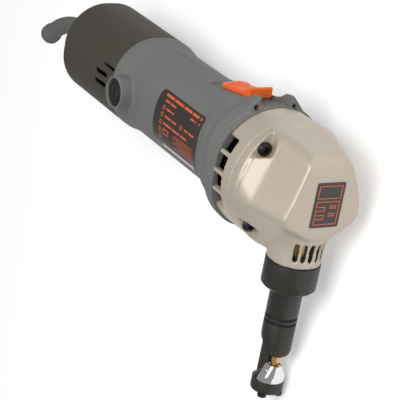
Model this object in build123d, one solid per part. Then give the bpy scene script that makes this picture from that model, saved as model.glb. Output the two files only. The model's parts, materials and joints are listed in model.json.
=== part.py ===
from build123d import *
from math import acos, atan2, ceil, copysign, cos, degrees, pi, radians, sin, sqrt, tan
import os

# An electric nibbler for sheet metal, lying on its side on a flat surface.
# Everything is first built in the tool's own frame, in millimetres: X runs along the
# motor towards the gear case, Z runs up the ram's axis, and the two axes cross at the
# origin. The assembled tool is then turned into the way it comes to rest.

# Lengths along the motor axis, from the front face back to the rear cover
NOSE_REACH = 21.0          # front face of the gear case ahead of the ram's axis
CASE_DEPTH = 45.6
RING_DEPTH = 19.4
HOUSING_LENGTH = 148.0
COVER_LENGTH = 75.5

FRONT_X = NOSE_REACH
SEAM_X = FRONT_X - CASE_DEPTH
COLLAR_X = SEAM_X - RING_DEPTH
JOINT_X = COLLAR_X - HOUSING_LENGTH
BACK_X = JOINT_X - COVER_LENGTH

# Motor housing and rear cover
REAR_HALF = 32.3           # half width of the rounded square section at the rear
REAR_CORNER = 29.5
GRIP_HALF = 30.4
GRIP_CORNER = 28.6
SHELL_WALL = 2.7
REAR_STAGE = 6.5           # length of the rear section before the shoulder
SHOULDER = 12.0
COLLAR_HALF = 39.0
COLLAR_CORNER = 33.5
COLLAR_BAND = 10.5         # width of the straight band round the collar, at mid height
BAND_TILT = 8.5            # degrees: the band is wider at the top than at the bottom
FLANK_SET_BACK = 4.3
FLARE_LENGTH = 71.5        # from the grip to the band
FAN_BORE = 34.8
FLANK_HEIGHT = 44.3        # top of the two flanks beside the switch
FLANK_TOP = 12.9           # half width over the flanks at their top
RIM_START = 29.8           # height of the rim round the switch where it leaves the grip
RIM_END = 40.2             # its height where it meets the flanks
RIM_NARROW = 7.0           # half width of the rim at its start
FLANK_RISE = 6.5           # length over which the flanks rise from the rim
FLANK_FOOT = 31.5
FLANK_FOOT_Z = 24.0
RECESS_HALF = 10.9
RECESS_REAR = 68.5         # rear end of the switch recess behind the collar's front face
RECESS_FLOOR = 39.4        # floor height at the front
COVER_EDGE = 3.6
VENT_HEIGHT = 2.9
VENT_PITCH = 7.1
VENT_LENGTH = 14.8
VENT_REACH = 25.4          # start of the vents behind the joint
VENT_PANEL = 31.5          # flat panel round the vents, from the motor axis
PANEL_SLOPE = 2.2          # degrees: the panel sinks in towards the joint

# Brush bosses
BRUSH_X = JOINT_X + 17.0
BOSS_RADIUS = 11.0
BOSS_REACH = 39.7          # outer face of each boss from the motor axis
CAP_RADIUS = 9.3
CAP_DEPTH = 5.0
FIT = 0.05                 # radial clearance of a running fit
GAP = 0.3                  # clearance between pieces that only pass each other

# Gear ring and gear case
RING_RADIUS = 39.4
RING_WALL = 4.6
SLOT_DEPTH = 10.0
SLOT_ANGLE = 14.4
SLOT_PITCH = 18.2
SLOT_FIRST = 29.6          # centre angle of the uppermost slot on each side
SLOTS = 4
WEB_THICKNESS = 4.0
FLANGE_DEPTH = 8.0
FLANGE_EDGE = 2.5
BLOCK_REAR_X = 9.1         # stations of the block's three sections, from the seam
BLOCK_MID_X = 18.6
BLOCK_REAR = ((25.6, RING_RADIUS - 1.8, 24.0), (RING_RADIUS + 2.0, -4.7, 24.0),
              (20.0, 2.0 - RING_RADIUS, 18.0))
BLOCK_MID = ((20.3, RING_RADIUS - 2.4, 10.0), (RING_RADIUS - 3.4, -7.0, 8.0),
             (15.5, 2.9 - RING_RADIUS, 6.0))
BLOCK_FRONT = ((16.0, 32.5, 8.0), (28.4, -8.8, 5.0), (6.1, -18.3, 6.0))
FACE_ROUND = 1.4
TOP_ROUND = 9.0            # large rounding from the front face to the top
NECK_RADIUS = 16.8
NECK_LENGTH = 39.9         # from the motor axis down to the neck's end
NECK_SLOTS = 5
NECK_SLOT_PITCH = 17.5
NECK_SLOT_WIDTH = 2.9
NECK_FLARE = 4.0           # the neck widens by this much up to the block
NECK_FLARE_TOP = -17.0
NECK_FLARE_END = -31.0
NECK_SLOT_TOP = -23.6
NECK_SLOT_END = -36.0
SPIGOT_RADIUS = 14.0
SPIGOT_LENGTH = 7.8

# Case screws
SCREW_INSET = 4.8          # from the ring's outer face in to the screws' axes
SCREW_CIRCLE = RING_RADIUS - SCREW_INSET
SCREW_SHANK = 2.1
SCREW_HEAD = 4.4
SCREW_HEAD_HEIGHT = 3.2
CASE_SCREW_LENGTH = 44.0
POCKET_RADIUS = 5.3
POCKET_REACH = 10.6        # length of the screw pockets along the motor axis
POCKET_DRAFT = 20.0        # degrees
COVER_SCREW_CIRCLE = 25.5
COVER_SCREW_HEAD = 3.6
COVER_SCREW_GRIP = 12.0    # length of screw held in the motor housing
SUNK_HEAD = 2.6

# Motor
SHAFT_RADIUS = 4.0
CORE_REAR = JOINT_X + 44.0
CORE_LENGTH = 44.0
CORE_RADIUS = 17.4
AIR_GAP = 0.6
STATOR_WALL = 27.6
STATOR_FLAT = 25.2
COMMUTATOR_RADIUS = 12.0
COMMUTATOR_LENGTH = 20.0
WINDING_OVERHANG = 8.0
FAN_RADIUS = 29.2
FAN_WIDTH = 10.0
FAN_BLADES = 12
BEARING_OUTER = 11.0       # 8 x 22 x 7 ball bearing
BEARING_WIDTH = 7.0
BRUSH_WIDE = 9.0
BRUSH_THICK = 6.0
SPRING_ROOM = 7.6          # between brush and cap
SPRING_ROLL = 2.6
BRUSH_LENGTH = BOSS_REACH - CAP_DEPTH - 0.1 - SPRING_ROOM - COMMUTATOR_RADIUS
HOLDER_WALL = 1.2

# Gear train: two equal stages, so that the crank runs on the motor's axis
PINION_TEETH = 10
GEAR_TEETH = 28
TIP_ROOM = 0.8             # between the first gear's tips and the ring's inner wall
MODULE = (RING_RADIUS - RING_WALL - TIP_ROOM) / (PINION_TEETH / 2 + GEAR_TEETH + 1)
PRESSURE_ANGLE = 25.0
BACKLASH = 0.12
GEAR_CENTRES = MODULE * (PINION_TEETH + GEAR_TEETH) / 2
FIRST_GEAR_X = SEAM_X - 4.6
FIRST_GEAR_WIDTH = 6.0
SECOND_GEAR_X = SEAM_X + 3.4
SECOND_GEAR_WIDTH = 8.0
COUNTER_RADIUS = 3.5
BUSH_WALL = 1.5
PLATE_X = SEAM_X + 12.4
PLATE_THICKNESS = 7.6
CHAMBER_DEPTH = 12.8
CHAMBER_HALF = 20.4
GEAR_ROOM_HALF = RING_RADIUS - 14.4
GEAR_ROOM_HEIGHT = RING_RADIUS - 10.9
GEAR_ROOM_RISE = 2.0
GEAR_ROOM_FLOOR = -18.6

# Crank and ram
CRANK_THROW = 2.2
JOURNAL_RADIUS = 6.4
ROLLER_RADIUS = 8.0
ROLLER_WIDTH = 7.0
YOKE_THICKNESS = 8.0
YOKE_WALL = 3.2
RAM_RADIUS = 7.5
BUSH_OUTER = 9.8
BUSH_TOP = -20.6
RAM_ROUND_TOP = -23.2      # the ram is round below this height and a flat neck above it
RAM_END = -58.0
STEM_RADIUS = 4.0
STEM_LENGTH = 12.0
HOLDER_END = -84.0
PUNCH_OFFSET = 3.8         # the punch stands this far in front of the barrel's axis
PUNCH_RADIUS = 2.4
PUNCH_TOP = -68.0
PUNCH_TIP = -115.5
NOTCH_TOP = -110.4
NOTCH_HEIGHT = 2.2
NOTCH_DEPTH = 1.3

# Lock nut, die holder and die
NUT_RADIUS = 17.0
NUT_END = -58.3
NUT_FLAT = 15.2
NUT_FLAT_HEIGHT = 5.0
NUT_FLAT_ANGLE = -39.0
BARREL_RADIUS = 10.1
GROOVE_ONE = -77.5
GROOVE_TWO = -81.1
GROOVE_WIDTH = 1.5
GROOVE_DEPTH = 1.2
CUT_HEIGHT = -94.8         # slanted end of the barrel where it crosses the axis
CUT_SLOPE = 36.0
STRIPPER_END = -103.8
STRIPPER_RADIUS = 4.2
POST_HALF = 2.5
POST_FRONT = -0.6
DIE_TOP = -110.2
DIE_TOP_RADIUS = 4.5
DIE_RADIUS = 10.0
DIE_REAR = 0.2             # flat rear face of the die
DIE_RIM = 3.7              # radius of the sunk ring round the cutting hole
DIE_RIM_DEPTH = 1.0
CHEEK_TOP = 4.0            # half width over the die's two side cheeks at the top
CHEEK_SLOPE = 25.5
DIE_SHOULDER = -117.6
DIE_BASE = -121.3
FOOT_RADIUS = 10.1
FOOT_END = -129.3
FOOT_RISE = 6.0            # height of the slope behind the die up to the post
DIE_SCREW_X = 4.9
DIE_SCREW_Y = 5.7
DIE_SCREW_HEAD = 2.9
DIE_SCREW_HEAD_HEIGHT = 2.2
DIE_SCREW_SHANK = 1.5
SLUG_RADIUS = 2.9

# Switch slider
SLIDER_TRAVEL = 8.0
SLIDER_LENGTH = 37.1
SLIDER_HALF = 8.4
SLIDER_REAR = 59.5         # rear end of the slider behind the collar's front face
SLIDER_BLOCK = 5.6
SLIDER_TOP = 43.9
SLIDER_STEP = 2.6          # from the block's top down to its rear edge
SLIDER_RISE = 5.4          # down to the start of the ramp
SLIDER_CROWN = 10.1        # down to the pad's rear end
SLIDER_LIP = 2.2           # height of the pad's rear end
SLIDER_ROUND = 1.5
SLIDER_BASE = 36.9         # underside of the block at the front
ROD_HALF = 2.4
ROD_THICKNESS = 1.3
ROD_TOP = 27.3
SWITCH_SIZE = (24.0, 15.0, 16.0)
CAPACITOR_RADIUS = 7.5
CAPACITOR_Z = -16.0

# Cord guard
GUARD_BORE = 3.9
GUARD_BASE = 7.5
GUARD_WAIST = 6.3
GUARD_STRAIGHT = 32.0
GUARD_BEND = 40.0          # degrees
GUARD_BEND_RADIUS = 70.0
BEAD_RADIUS = 7.5
BEAD_LENGTH = 9.0
TAIL_INSIDE = 12.0

LOW = (Align.CENTER, Align.CENTER, Align.MIN)


def rod_x(radius, x0, x1, y=0.0, z=0.0):
    """Cylinder along X between two stations."""
    return Pos(x0, y, z) * Rot(0, 90, 0) * Cylinder(radius, x1 - x0, align=LOW)


def rod_y(radius, y0, y1, x=0.0, z=0.0):
    """Cylinder along Y between two stations."""
    return Pos(x, y0, z) * Rot(-90, 0, 0) * Cylinder(radius, y1 - y0, align=LOW)


def rod_z(radius, z0, z1, x=0.0, y=0.0):
    """Cylinder along Z between two heights."""
    return Pos(x, y, z0) * Cylinder(radius, z1 - z0, align=LOW)


def block(x0, x1, y0, y1, z0, z1):
    """Box between its lowest and highest corners."""
    return Pos(x0, y0, z0) * Box(x1 - x0, y1 - y0, z1 - z0, align=(Align.MIN, Align.MIN, Align.MIN))


def turned_x(points):
    """Solid of revolution about X from (x, radius) corners, closed on the axis."""
    first, last = points[0], points[-1]
    outline = [(first[0], 0.0)] + points + [(last[0], 0.0)]
    face = Plane.XZ * make_face(Polyline(*[(x, r) for x, r in outline], close=True))
    return revolve(face, Axis.X)


def turned_z(points, x=0.0):
    """Solid of revolution about Z from (radius, z) corners, closed on the axis."""
    first, last = points[0], points[-1]
    outline = [(0.0, first[1])] + points + [(0.0, last[1])]
    face = Plane.XZ * make_face(Polyline(*outline, close=True))
    return Pos(x, 0, 0) * revolve(face, Axis.Z)


def rounded_square(x, half, corner):
    """Rounded square across the motor axis at station x."""
    return Plane.YZ.offset(x) * RectangleRounded(2 * half, 2 * half, corner)


def around(circle, angles):
    """Points (y, z) on a circle across the motor axis."""
    return [(circle * cos(radians(a)), circle * sin(radians(a))) for a in angles]


CASE_SCREWS = around(SCREW_CIRCLE, (45, 135, 225, 315))
COVER_SCREWS = around(COVER_SCREW_CIRCLE, (45, 135, 225, 315))


def collar_outline(size, half_top, top):
    """Rounded square of the collar, scaled, with the rim or the flanks of the switch on top."""
    square = RectangleRounded(2 * size * COLLAR_HALF, 2 * size * COLLAR_HALF, size * COLLAR_CORNER)
    foot, foot_z = size * FLANK_FOOT, size * FLANK_FOOT_Z
    flank = Polyline((-half_top, top), (half_top, top), (foot, foot_z), (-foot, foot_z), close=True)
    return square + make_face(flank)


def leaning(x, tilt):
    """Plane across the motor axis at station x, leaning back at the top by an angle."""
    up = Vector(-sin(radians(tilt)), 0, cos(radians(tilt)))
    return Plane(origin=(x, 0, 0), x_dir=(0, 1, 0), z_dir=Vector(0, 1, 0).cross(up))


def flare(x_start, x_end, steps):
    """Concave flare from the grip to the collar, with the rim of the switch rising along its top."""
    sections = []
    for i in range(steps + 1):
        t = i / steps
        side = max(0.0, (t - 0.2) / 0.8)
        size = max(0.75, 0.647 + 0.353 * side * (0.35 + 0.65 * side))
        half_top = RIM_NARROW + (FLANK_TOP - RIM_NARROW) * (1 - (1 - t) ** 3)
        top = RIM_START + (RIM_END - RIM_START) * t * (0.54 + 0.46 * t)
        outline = collar_outline(size, half_top, top)
        sections.append(leaning(x_start + (x_end - x_start) * t, BAND_TILT * t) * outline)
    return loft(sections)


def flank_cut():
    """Room that sets the flanks' front faces back behind the collar's front face."""
    room = block(COLLAR_X - FLANK_SET_BACK, COLLAR_X + 1, -FLANK_FOOT, FLANK_FOOT, FLANK_FOOT_Z, 60)
    return room - rod_x(RING_RADIUS + 0.6, COLLAR_X - 9, COLLAR_X + 2)


def housing_body():
    """Outer form of the motor housing, without its openings."""
    stage_end = JOINT_X + REAR_STAGE
    grip_start = stage_end + SHOULDER
    band_x = COLLAR_X - COLLAR_BAND
    body = extrude(rounded_square(JOINT_X, REAR_HALF, REAR_CORNER), REAR_STAGE)
    body += loft([rounded_square(stage_end, REAR_HALF, REAR_CORNER),
                  rounded_square(grip_start, GRIP_HALF, GRIP_CORNER)])
    body += extrude(rounded_square(grip_start, GRIP_HALF, GRIP_CORNER), band_x - 12 - grip_start)
    body += flare(band_x - FLARE_LENGTH, band_x, 8)
    risen = leaning(band_x + FLANK_RISE, BAND_TILT / 3) * collar_outline(1.0, FLANK_TOP, FLANK_HEIGHT)
    body += loft([leaning(band_x, BAND_TILT) * collar_outline(1.0, FLANK_TOP, RIM_END), risen])
    body += loft([risen, Plane.YZ.offset(COLLAR_X) * collar_outline(1.0, FLANK_TOP, FLANK_HEIGHT)])
    body += rod_y(BOSS_RADIUS, -BOSS_REACH, BOSS_REACH, x=BRUSH_X)
    return body - flank_cut()


def housing_hollow():
    """Inside of the motor housing: brush space, stator bore and fan space."""
    stage_end = JOINT_X + REAR_STAGE
    grip_start = stage_end + SHOULDER
    rear_half = REAR_HALF - SHELL_WALL
    fan_x = COLLAR_X - 15.0
    cone_x = fan_x - 20.0
    hollow = extrude(rounded_square(JOINT_X, rear_half, REAR_CORNER - SHELL_WALL), REAR_STAGE)
    hollow += turned_x([(stage_end, GRIP_HALF - SHELL_WALL + 0.6), (grip_start, STATOR_WALL + FIT),
                        (cone_x, STATOR_WALL + FIT), (fan_x, FAN_BORE), (COLLAR_X, FAN_BORE)])
    return hollow


def recess_cut():
    """The switch recess: a rounded slot seen from above, on a floor that rises to the front."""
    rear_x = COLLAR_X - RECESS_REAR
    outline = Polyline((rear_x, 29.3), (COLLAR_X - 44, 31.0)) \
        + ThreePointArc((COLLAR_X - 44, 31.0), (COLLAR_X - 24, 34.7), (COLLAR_X, RECESS_FLOOR + 0.8)) \
        + Polyline((COLLAR_X, RECESS_FLOOR + 0.8), (COLLAR_X + 5, RECESS_FLOOR + 2),
                   (COLLAR_X + 5, FLANK_HEIGHT + 9), (rear_x, FLANK_HEIGHT + 9), (rear_x, 29.3))
    above = extrude(Plane.XZ * make_face(outline), RECESS_HALF, both=True)
    plan = Pos(rear_x + RECESS_HALF, 0, 0) * Cylinder(RECESS_HALF, 120)
    plan += block(rear_x + RECESS_HALF, COLLAR_X + 5, -RECESS_HALF, RECESS_HALF, 0, 60)
    return above & plan


def slider_slot():
    """Slot in the recess floor for the slider's stem, long enough for its travel."""
    stem_x = COLLAR_X - SLIDER_REAR + 7.0
    return block(stem_x - 0.6, stem_x + 8.6 + SLIDER_TRAVEL, -ROD_HALF - 0.4, ROD_HALF + 0.4, 20, 60)


def motor_housing():
    """One-piece motor housing with grip, collar, switch recess and brush bosses."""
    body = housing_body() - housing_hollow() - recess_cut() - slider_slot()
    body -= rod_y(CAP_RADIUS + FIT, -BOSS_REACH - 1, -BOSS_REACH + CAP_DEPTH, x=BRUSH_X)
    body -= rod_y(CAP_RADIUS + FIT, BOSS_REACH - CAP_DEPTH, BOSS_REACH + 1, x=BRUSH_X)
    holder = BRUSH_WIDE / 2 + HOLDER_WALL + FIT, BRUSH_THICK / 2 + HOLDER_WALL + FIT
    body -= block(BRUSH_X - holder[1], BRUSH_X + holder[1], -BOSS_REACH, BOSS_REACH, -holder[0], holder[0])
    for y, z in CASE_SCREWS:
        boss = rod_x(SCREW_SHANK + 2.4, COLLAR_X - 18, COLLAR_X, y, z)
        body += boss & rod_x(COLLAR_HALF, COLLAR_X - 18, COLLAR_X)
        body -= rod_x(SCREW_SHANK + FIT, COLLAR_X - 24, COLLAR_X + 1, y, z)
    for y, z in COVER_SCREWS:
        body += rod_x(SCREW_SHANK + 2.0, JOINT_X, JOINT_X + REAR_STAGE, y, z)
        body -= rod_x(SCREW_SHANK + FIT, JOINT_X - 1, JOINT_X + COVER_SCREW_GRIP, y, z)
    for y in (-FLANK_TOP, FLANK_TOP):
        body -= rod_x(1.7, COLLAR_X - 13, COLLAR_X + 1, 1.05 * y, FLANK_HEIGHT - 6.5)
    return body


def rear_cover():
    """Deep rear cover with a closed back, side vents, screw pillars and the cord inlet."""
    body = extrude(rounded_square(BACK_X, REAR_HALF, REAR_CORNER), COVER_LENGTH)
    body = fillet(body.edges().filter_by_position(Axis.X, BACK_X - 0.1, BACK_X + 0.1), COVER_EDGE)
    inner_half = REAR_HALF - SHELL_WALL
    body -= extrude(rounded_square(BACK_X + SHELL_WALL, inner_half, REAR_CORNER - SHELL_WALL), COVER_LENGTH)
    for y, z in COVER_SCREWS:
        body += rod_x(SCREW_SHANK + 2.0, BACK_X + 1, JOINT_X - 6.0, y, z)
        body += rod_x(COVER_SCREW_HEAD + 1.6, BACK_X + 1, BACK_X + SUNK_HEAD + SHELL_WALL, y, z)
        body -= rod_x(COVER_SCREW_HEAD + 0.4, BACK_X - 1, BACK_X + SUNK_HEAD, y, z)
        body -= rod_x(SCREW_SHANK + FIT, BACK_X, JOINT_X, y, z)
    inside = extrude(rounded_square(BACK_X + 1, REAR_HALF - 1.0, REAR_CORNER - 1.0), COVER_LENGTH - 2)
    shelf_x = BACK_X + TAIL_INSIDE + 1.5
    body += block(shelf_x, shelf_x + 9.0, -15.0, 15.0, -REAR_HALF, -GUARD_BORE) & inside
    for x in (JOINT_X - 46, JOINT_X - 30):
        body += block(x, x + 2.5, -8.5, 8.5, -REAR_HALF, CAPACITOR_Z - 2.0) & inside
    body -= rod_x(CAPACITOR_RADIUS + 0.02, JOINT_X - 50, JOINT_X - 20, 0, CAPACITOR_Z)
    body += rod_x(GUARD_BASE + 3.4, BACK_X + 1, BACK_X + 10)
    body -= rod_x(GUARD_BASE + FIT, BACK_X - 1, BACK_X + 12)
    for side in (-1, 1):
        cuts = side_vents()
        body -= cuts if side < 0 else mirror(cuts, Plane.XZ)
    return body


def side_vents():
    """Cuts of the -Y side: a shallow flat panel, two slots in it and a wedge-shaped one above them."""
    x0 = JOINT_X - VENT_REACH
    top, low = 1.34 * VENT_PITCH, -1.14 * VENT_PITCH
    cuts = block(-1.2, VENT_REACH + 4, -9, 0, low, top)
    cuts = Pos(x0, -VENT_PANEL, 0) * Rot(0, 0, PANEL_SLOPE) * cuts
    for centre in (0.14 * VENT_PITCH, -0.86 * VENT_PITCH):
        cuts += block(x0, x0 + VENT_LENGTH, -REAR_HALF - 1, -20,
                      centre - VENT_HEIGHT / 2, centre + VENT_HEIGHT / 2)
    wedge = Polyline((x0, top - 0.9), (x0, top - 0.2), (JOINT_X + 1, top - 0.2),
                     (JOINT_X + 1, top - 3.0), close=True)
    return cuts + Pos(0, -20, 0) * extrude(Plane.XZ * make_face(wedge), REAR_HALF - 18)


def end_bridge():
    """Plate across the rear of the motor that carries the rear bearing."""
    wall = SHELL_WALL + FIT
    plate = extrude(rounded_square(JOINT_X - 5.0, REAR_HALF - wall, REAR_CORNER - wall), 5.0)
    plate += rod_x(BEARING_OUTER + 2.4, JOINT_X - 5 - BEARING_WIDTH, JOINT_X)
    plate -= rod_x(BEARING_OUTER + 0.02, JOINT_X - 6 - BEARING_WIDTH, JOINT_X - 3.0)
    plate -= rod_x(SHAFT_RADIUS + 2.5, JOINT_X - 4, JOINT_X + 1)
    plate -= block(JOINT_X - 6, JOINT_X + 1, -ROD_HALF - 1, ROD_HALF + 1, ROD_TOP - ROD_THICKNESS - 1, 40)
    for y, z in COVER_SCREWS:
        plate -= rod_x(SCREW_SHANK + 2.0 + GAP, JOINT_X - 6, JOINT_X + 1, y, z)
    for a in (0, 180):
        y, z = 19.0 * cos(radians(a)), 19.0 * sin(radians(a))
        plate -= rod_x(4.0, JOINT_X - 6, JOINT_X + 1, y, z)
    return plate


def gear_wheel(teeth, x0, width, bore):
    """Involute spur gear about X from module, pressure angle and backlash."""
    alpha = radians(PRESSURE_ANGLE)
    pitch = MODULE * teeth / 2
    base = pitch * cos(alpha)
    tip = pitch + MODULE
    root = pitch - 1.25 * MODULE
    half_pitch_angle = pi / (2 * teeth) - BACKLASH / (2 * pitch)

    def half_angle(radius):
        """Half of the tooth's angle at a radius."""
        at = acos(min(1.0, base / radius))
        return half_pitch_angle + (tan(alpha) - alpha) - (tan(at) - at)

    def corner(radius, angle):
        return (radius * cos(angle), radius * sin(angle))

    low = max(base, root + 0.05)
    mid = (low + tip) / 2
    line = []
    for i in range(teeth):
        c = 2 * pi * i / teeth
        nxt = 2 * pi * (i + 1) / teeth
        a, b, m = half_angle(low), half_angle(tip), half_angle(mid)
        line.append(Line(corner(root, c - a), corner(low, c - a)))
        line.append(ThreePointArc(corner(low, c - a), corner(mid, c - m), corner(tip, c - b)))
        line.append(Line(corner(tip, c - b), corner(tip, c + b)))
        line.append(ThreePointArc(corner(tip, c + b), corner(mid, c + m), corner(low, c + a)))
        line.append(Line(corner(low, c + a), corner(root, c + a)))
        line.append(Line(corner(root, c + a), corner(root, nxt - a)))
    face = make_face(Curve() + line)
    wheel = extrude(Plane.YZ.offset(x0) * face, width)
    if bore:
        wheel -= rod_x(bore, x0 - 1, x0 + width + 1)
    return wheel


def armature_shaft():
    """Motor shaft with the first pinion cut on its front end."""
    pinion_end = FIRST_GEAR_X + FIRST_GEAR_WIDTH + 0.4
    ring_web = SEAM_X - 10.0
    shaft = rod_x(SHAFT_RADIUS, JOINT_X - 5 - BEARING_WIDTH, FIRST_GEAR_X - 1.0)
    shaft += rod_x(SHAFT_RADIUS + 1.5, COLLAR_X - 4.0, ring_web - BEARING_WIDTH - 0.2)
    shaft += gear_wheel(PINION_TEETH, FIRST_GEAR_X - 1.4, pinion_end - FIRST_GEAR_X + 1.4, 0)
    return shaft


def ball_bearing(x0):
    """Ball bearing as a closed ring: outer race, shield and inner race in one section."""
    x1 = x0 + BEARING_WIDTH
    ring = rod_x(BEARING_OUTER, x0, x1) - rod_x(SHAFT_RADIUS + 0.02, x0 - 1, x1 + 1)
    for side in (x0 - 0.1, x1 - 0.5):
        ring -= rod_x(BEARING_OUTER - 1.9, side, side + 0.6) - rod_x(SHAFT_RADIUS + 1.9, side - 1, side + 2)
    return ring


def armature_core():
    """Slotted armature laminations."""
    core = rod_x(CORE_RADIUS, CORE_REAR, CORE_REAR + CORE_LENGTH)
    for i in range(12):
        slot = block(CORE_REAR - 1, CORE_REAR + CORE_LENGTH + 1, CORE_RADIUS - 5.0, CORE_RADIUS + 1,
                     -0.9, 0.9)
        core -= Rot(30.0 * i, 0, 0) * slot
    return core - rod_x(SHAFT_RADIUS, CORE_REAR - 1, CORE_REAR + CORE_LENGTH + 1)


def armature_windings():
    """Winding heads at both ends of the core."""
    heads = []
    core_front = CORE_REAR + CORE_LENGTH
    for x0, x1 in ((CORE_REAR - WINDING_OVERHANG, CORE_REAR), (core_front, core_front + WINDING_OVERHANG)):
        head = rod_x(CORE_RADIUS - 1.6, x0, x1) - rod_x(SHAFT_RADIUS, x0 - 1, x1 + 1)
        far = x0 if x1 == CORE_REAR else x1
        rim = head.edges().filter_by_position(Axis.X, far - 0.1, far + 0.1).sort_by(SortBy.RADIUS)[-1]
        heads.append(fillet(rim, 4.0))
    return heads


def commutator():
    """Commutator drum with its raised riser."""
    x0 = BRUSH_X - COMMUTATOR_LENGTH / 2
    x1 = BRUSH_X + COMMUTATOR_LENGTH / 2
    drum = turned_x([(x0, COMMUTATOR_RADIUS), (x1 - 3, COMMUTATOR_RADIUS), (x1 - 3, COMMUTATOR_RADIUS + 1.4),
                     (x1, COMMUTATOR_RADIUS + 1.4)])
    for i in range(12):
        slit = block(x0 - 1, x1 + 1, COMMUTATOR_RADIUS - 0.7, COMMUTATOR_RADIUS + 2, -0.3, 0.3)
        drum -= Rot(30.0 * i + 15, 0, 0) * slit
    return drum - rod_x(SHAFT_RADIUS, x0 - 1, x1 + 1)


def cooling_fan():
    """Radial fan: hub, back disc and straight blades."""
    x0 = COLLAR_X - 4.0 - FAN_WIDTH
    x1 = x0 + FAN_WIDTH
    fan = rod_x(9.0, x0, x1) + rod_x(FAN_RADIUS, x0 + 6.5, x0 + 8.0)
    for i in range(FAN_BLADES):
        blade = block(x0, x0 + 7.0, 15.0, FAN_RADIUS - 0.3, -0.6, 0.6)
        fan += Rot(360.0 * i / FAN_BLADES, 0, 0) * (Pos(0, 0, 4.0) * blade)
    fan = fan & rod_x(FAN_RADIUS, x0, x1)
    return fan - rod_x(SHAFT_RADIUS, x0 - 1, x1 + 1)


def stator_core():
    """Stator laminations: outer yoke with two poles that face the armature."""
    bore = CORE_RADIUS + AIR_GAP
    x0, x1 = CORE_REAR, CORE_REAR + CORE_LENGTH
    core = rod_x(STATOR_WALL, x0, x1) - rod_x(bore, x0 - 1, x1 + 1)
    core = core & block(x0, x1, -30, 30, -STATOR_FLAT, STATOR_FLAT)
    for side in (-1, 1):
        for edge in (-1, 1):
            slot = block(x0 - 1, x1 + 1, 10.5, 14.5, 0, 9.0)
            core -= Pos(0, 0, 0) * (mirror_yz(slot, side, edge, bore))
    return core


def mirror_yz(slot, side, edge, bore):
    """Place a winding slot beside one pole."""
    moved = Pos(0, 0, bore - 5.0) * slot
    if side < 0:
        moved = mirror(moved, Plane.XY)
    if edge < 0:
        moved = mirror(moved, Plane.XZ)
    return moved


def field_coils():
    """Winding heads of the two field coils, one above and one below, at both ends of the stator."""
    coils = []
    outer, inner = STATOR_WALL - 2.4, CORE_RADIUS + 2.2
    for x0, x1 in ((CORE_REAR - 9.0, CORE_REAR), (CORE_REAR + CORE_LENGTH, CORE_REAR + CORE_LENGTH + 9.0)):
        ring = rod_x(outer, x0, x1) - rod_x(inner, x0 - 1, x1 + 1)
        for z0, z1 in ((5.0, 24.8), (-24.8, -5.0)):
            coils.append(ring & block(x0, x1, -30, 30, z0, z1))
    return coils


def brush_parts():
    """Brush holders, carbon brushes, strip springs and screw caps, as groups of two."""
    holders, brushes, springs, caps = [], [], [], []
    inner = COMMUTATOR_RADIUS + 1.8
    outer = BOSS_REACH - CAP_DEPTH - 0.1
    tall, thick = BRUSH_WIDE / 2, BRUSH_THICK / 2
    for side in (-1, 1):
        shell = block(BRUSH_X - thick - HOLDER_WALL, BRUSH_X + thick + HOLDER_WALL, inner, outer,
                      -tall - HOLDER_WALL, tall + HOLDER_WALL)
        shell -= block(BRUSH_X - thick - FIT, BRUSH_X + thick + FIT, inner - 1, outer + 1,
                       -tall - FIT, tall + FIT)
        brush = block(BRUSH_X - thick, BRUSH_X + thick, COMMUTATOR_RADIUS + FIT,
                      COMMUTATOR_RADIUS + BRUSH_LENGTH, -tall, tall)
        brush -= rod_x(COMMUTATOR_RADIUS + FIT, BRUSH_X - 9, BRUSH_X + 9)
        roll_y = COMMUTATOR_RADIUS + BRUSH_LENGTH + SPRING_ROLL
        spring = rod_x(SPRING_ROLL, BRUSH_X - 2.4, BRUSH_X + 2.4, roll_y, 0)
        spring -= rod_x(SPRING_ROLL / 2, BRUSH_X - 5, BRUSH_X + 5, roll_y, 0)
        spring += block(BRUSH_X - 2.4, BRUSH_X + 2.4, roll_y, outer, SPRING_ROLL - 0.5, SPRING_ROLL)
        cap = rod_y(CAP_RADIUS, outer + 0.1, BOSS_REACH - 1.8, x=BRUSH_X)
        cap += rod_y(CAP_RADIUS - 1.4, outer + 0.1, BOSS_REACH - 0.8, x=BRUSH_X)
        cap -= rod_y(6.6, BOSS_REACH - 1.8, BOSS_REACH + 1, x=BRUSH_X) \
            - rod_y(5.8, BOSS_REACH - 3, BOSS_REACH + 2, x=BRUSH_X)
        cap -= block(BRUSH_X - 0.9, BRUSH_X + 0.9, BOSS_REACH - 2.4, BOSS_REACH + 1, -4.2, 4.2)
        for group, piece in ((holders, shell), (brushes, brush), (springs, spring), (caps, cap)):
            group.append(piece if side > 0 else mirror(piece, Plane.XZ))
    return holders, brushes, springs, caps


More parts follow.
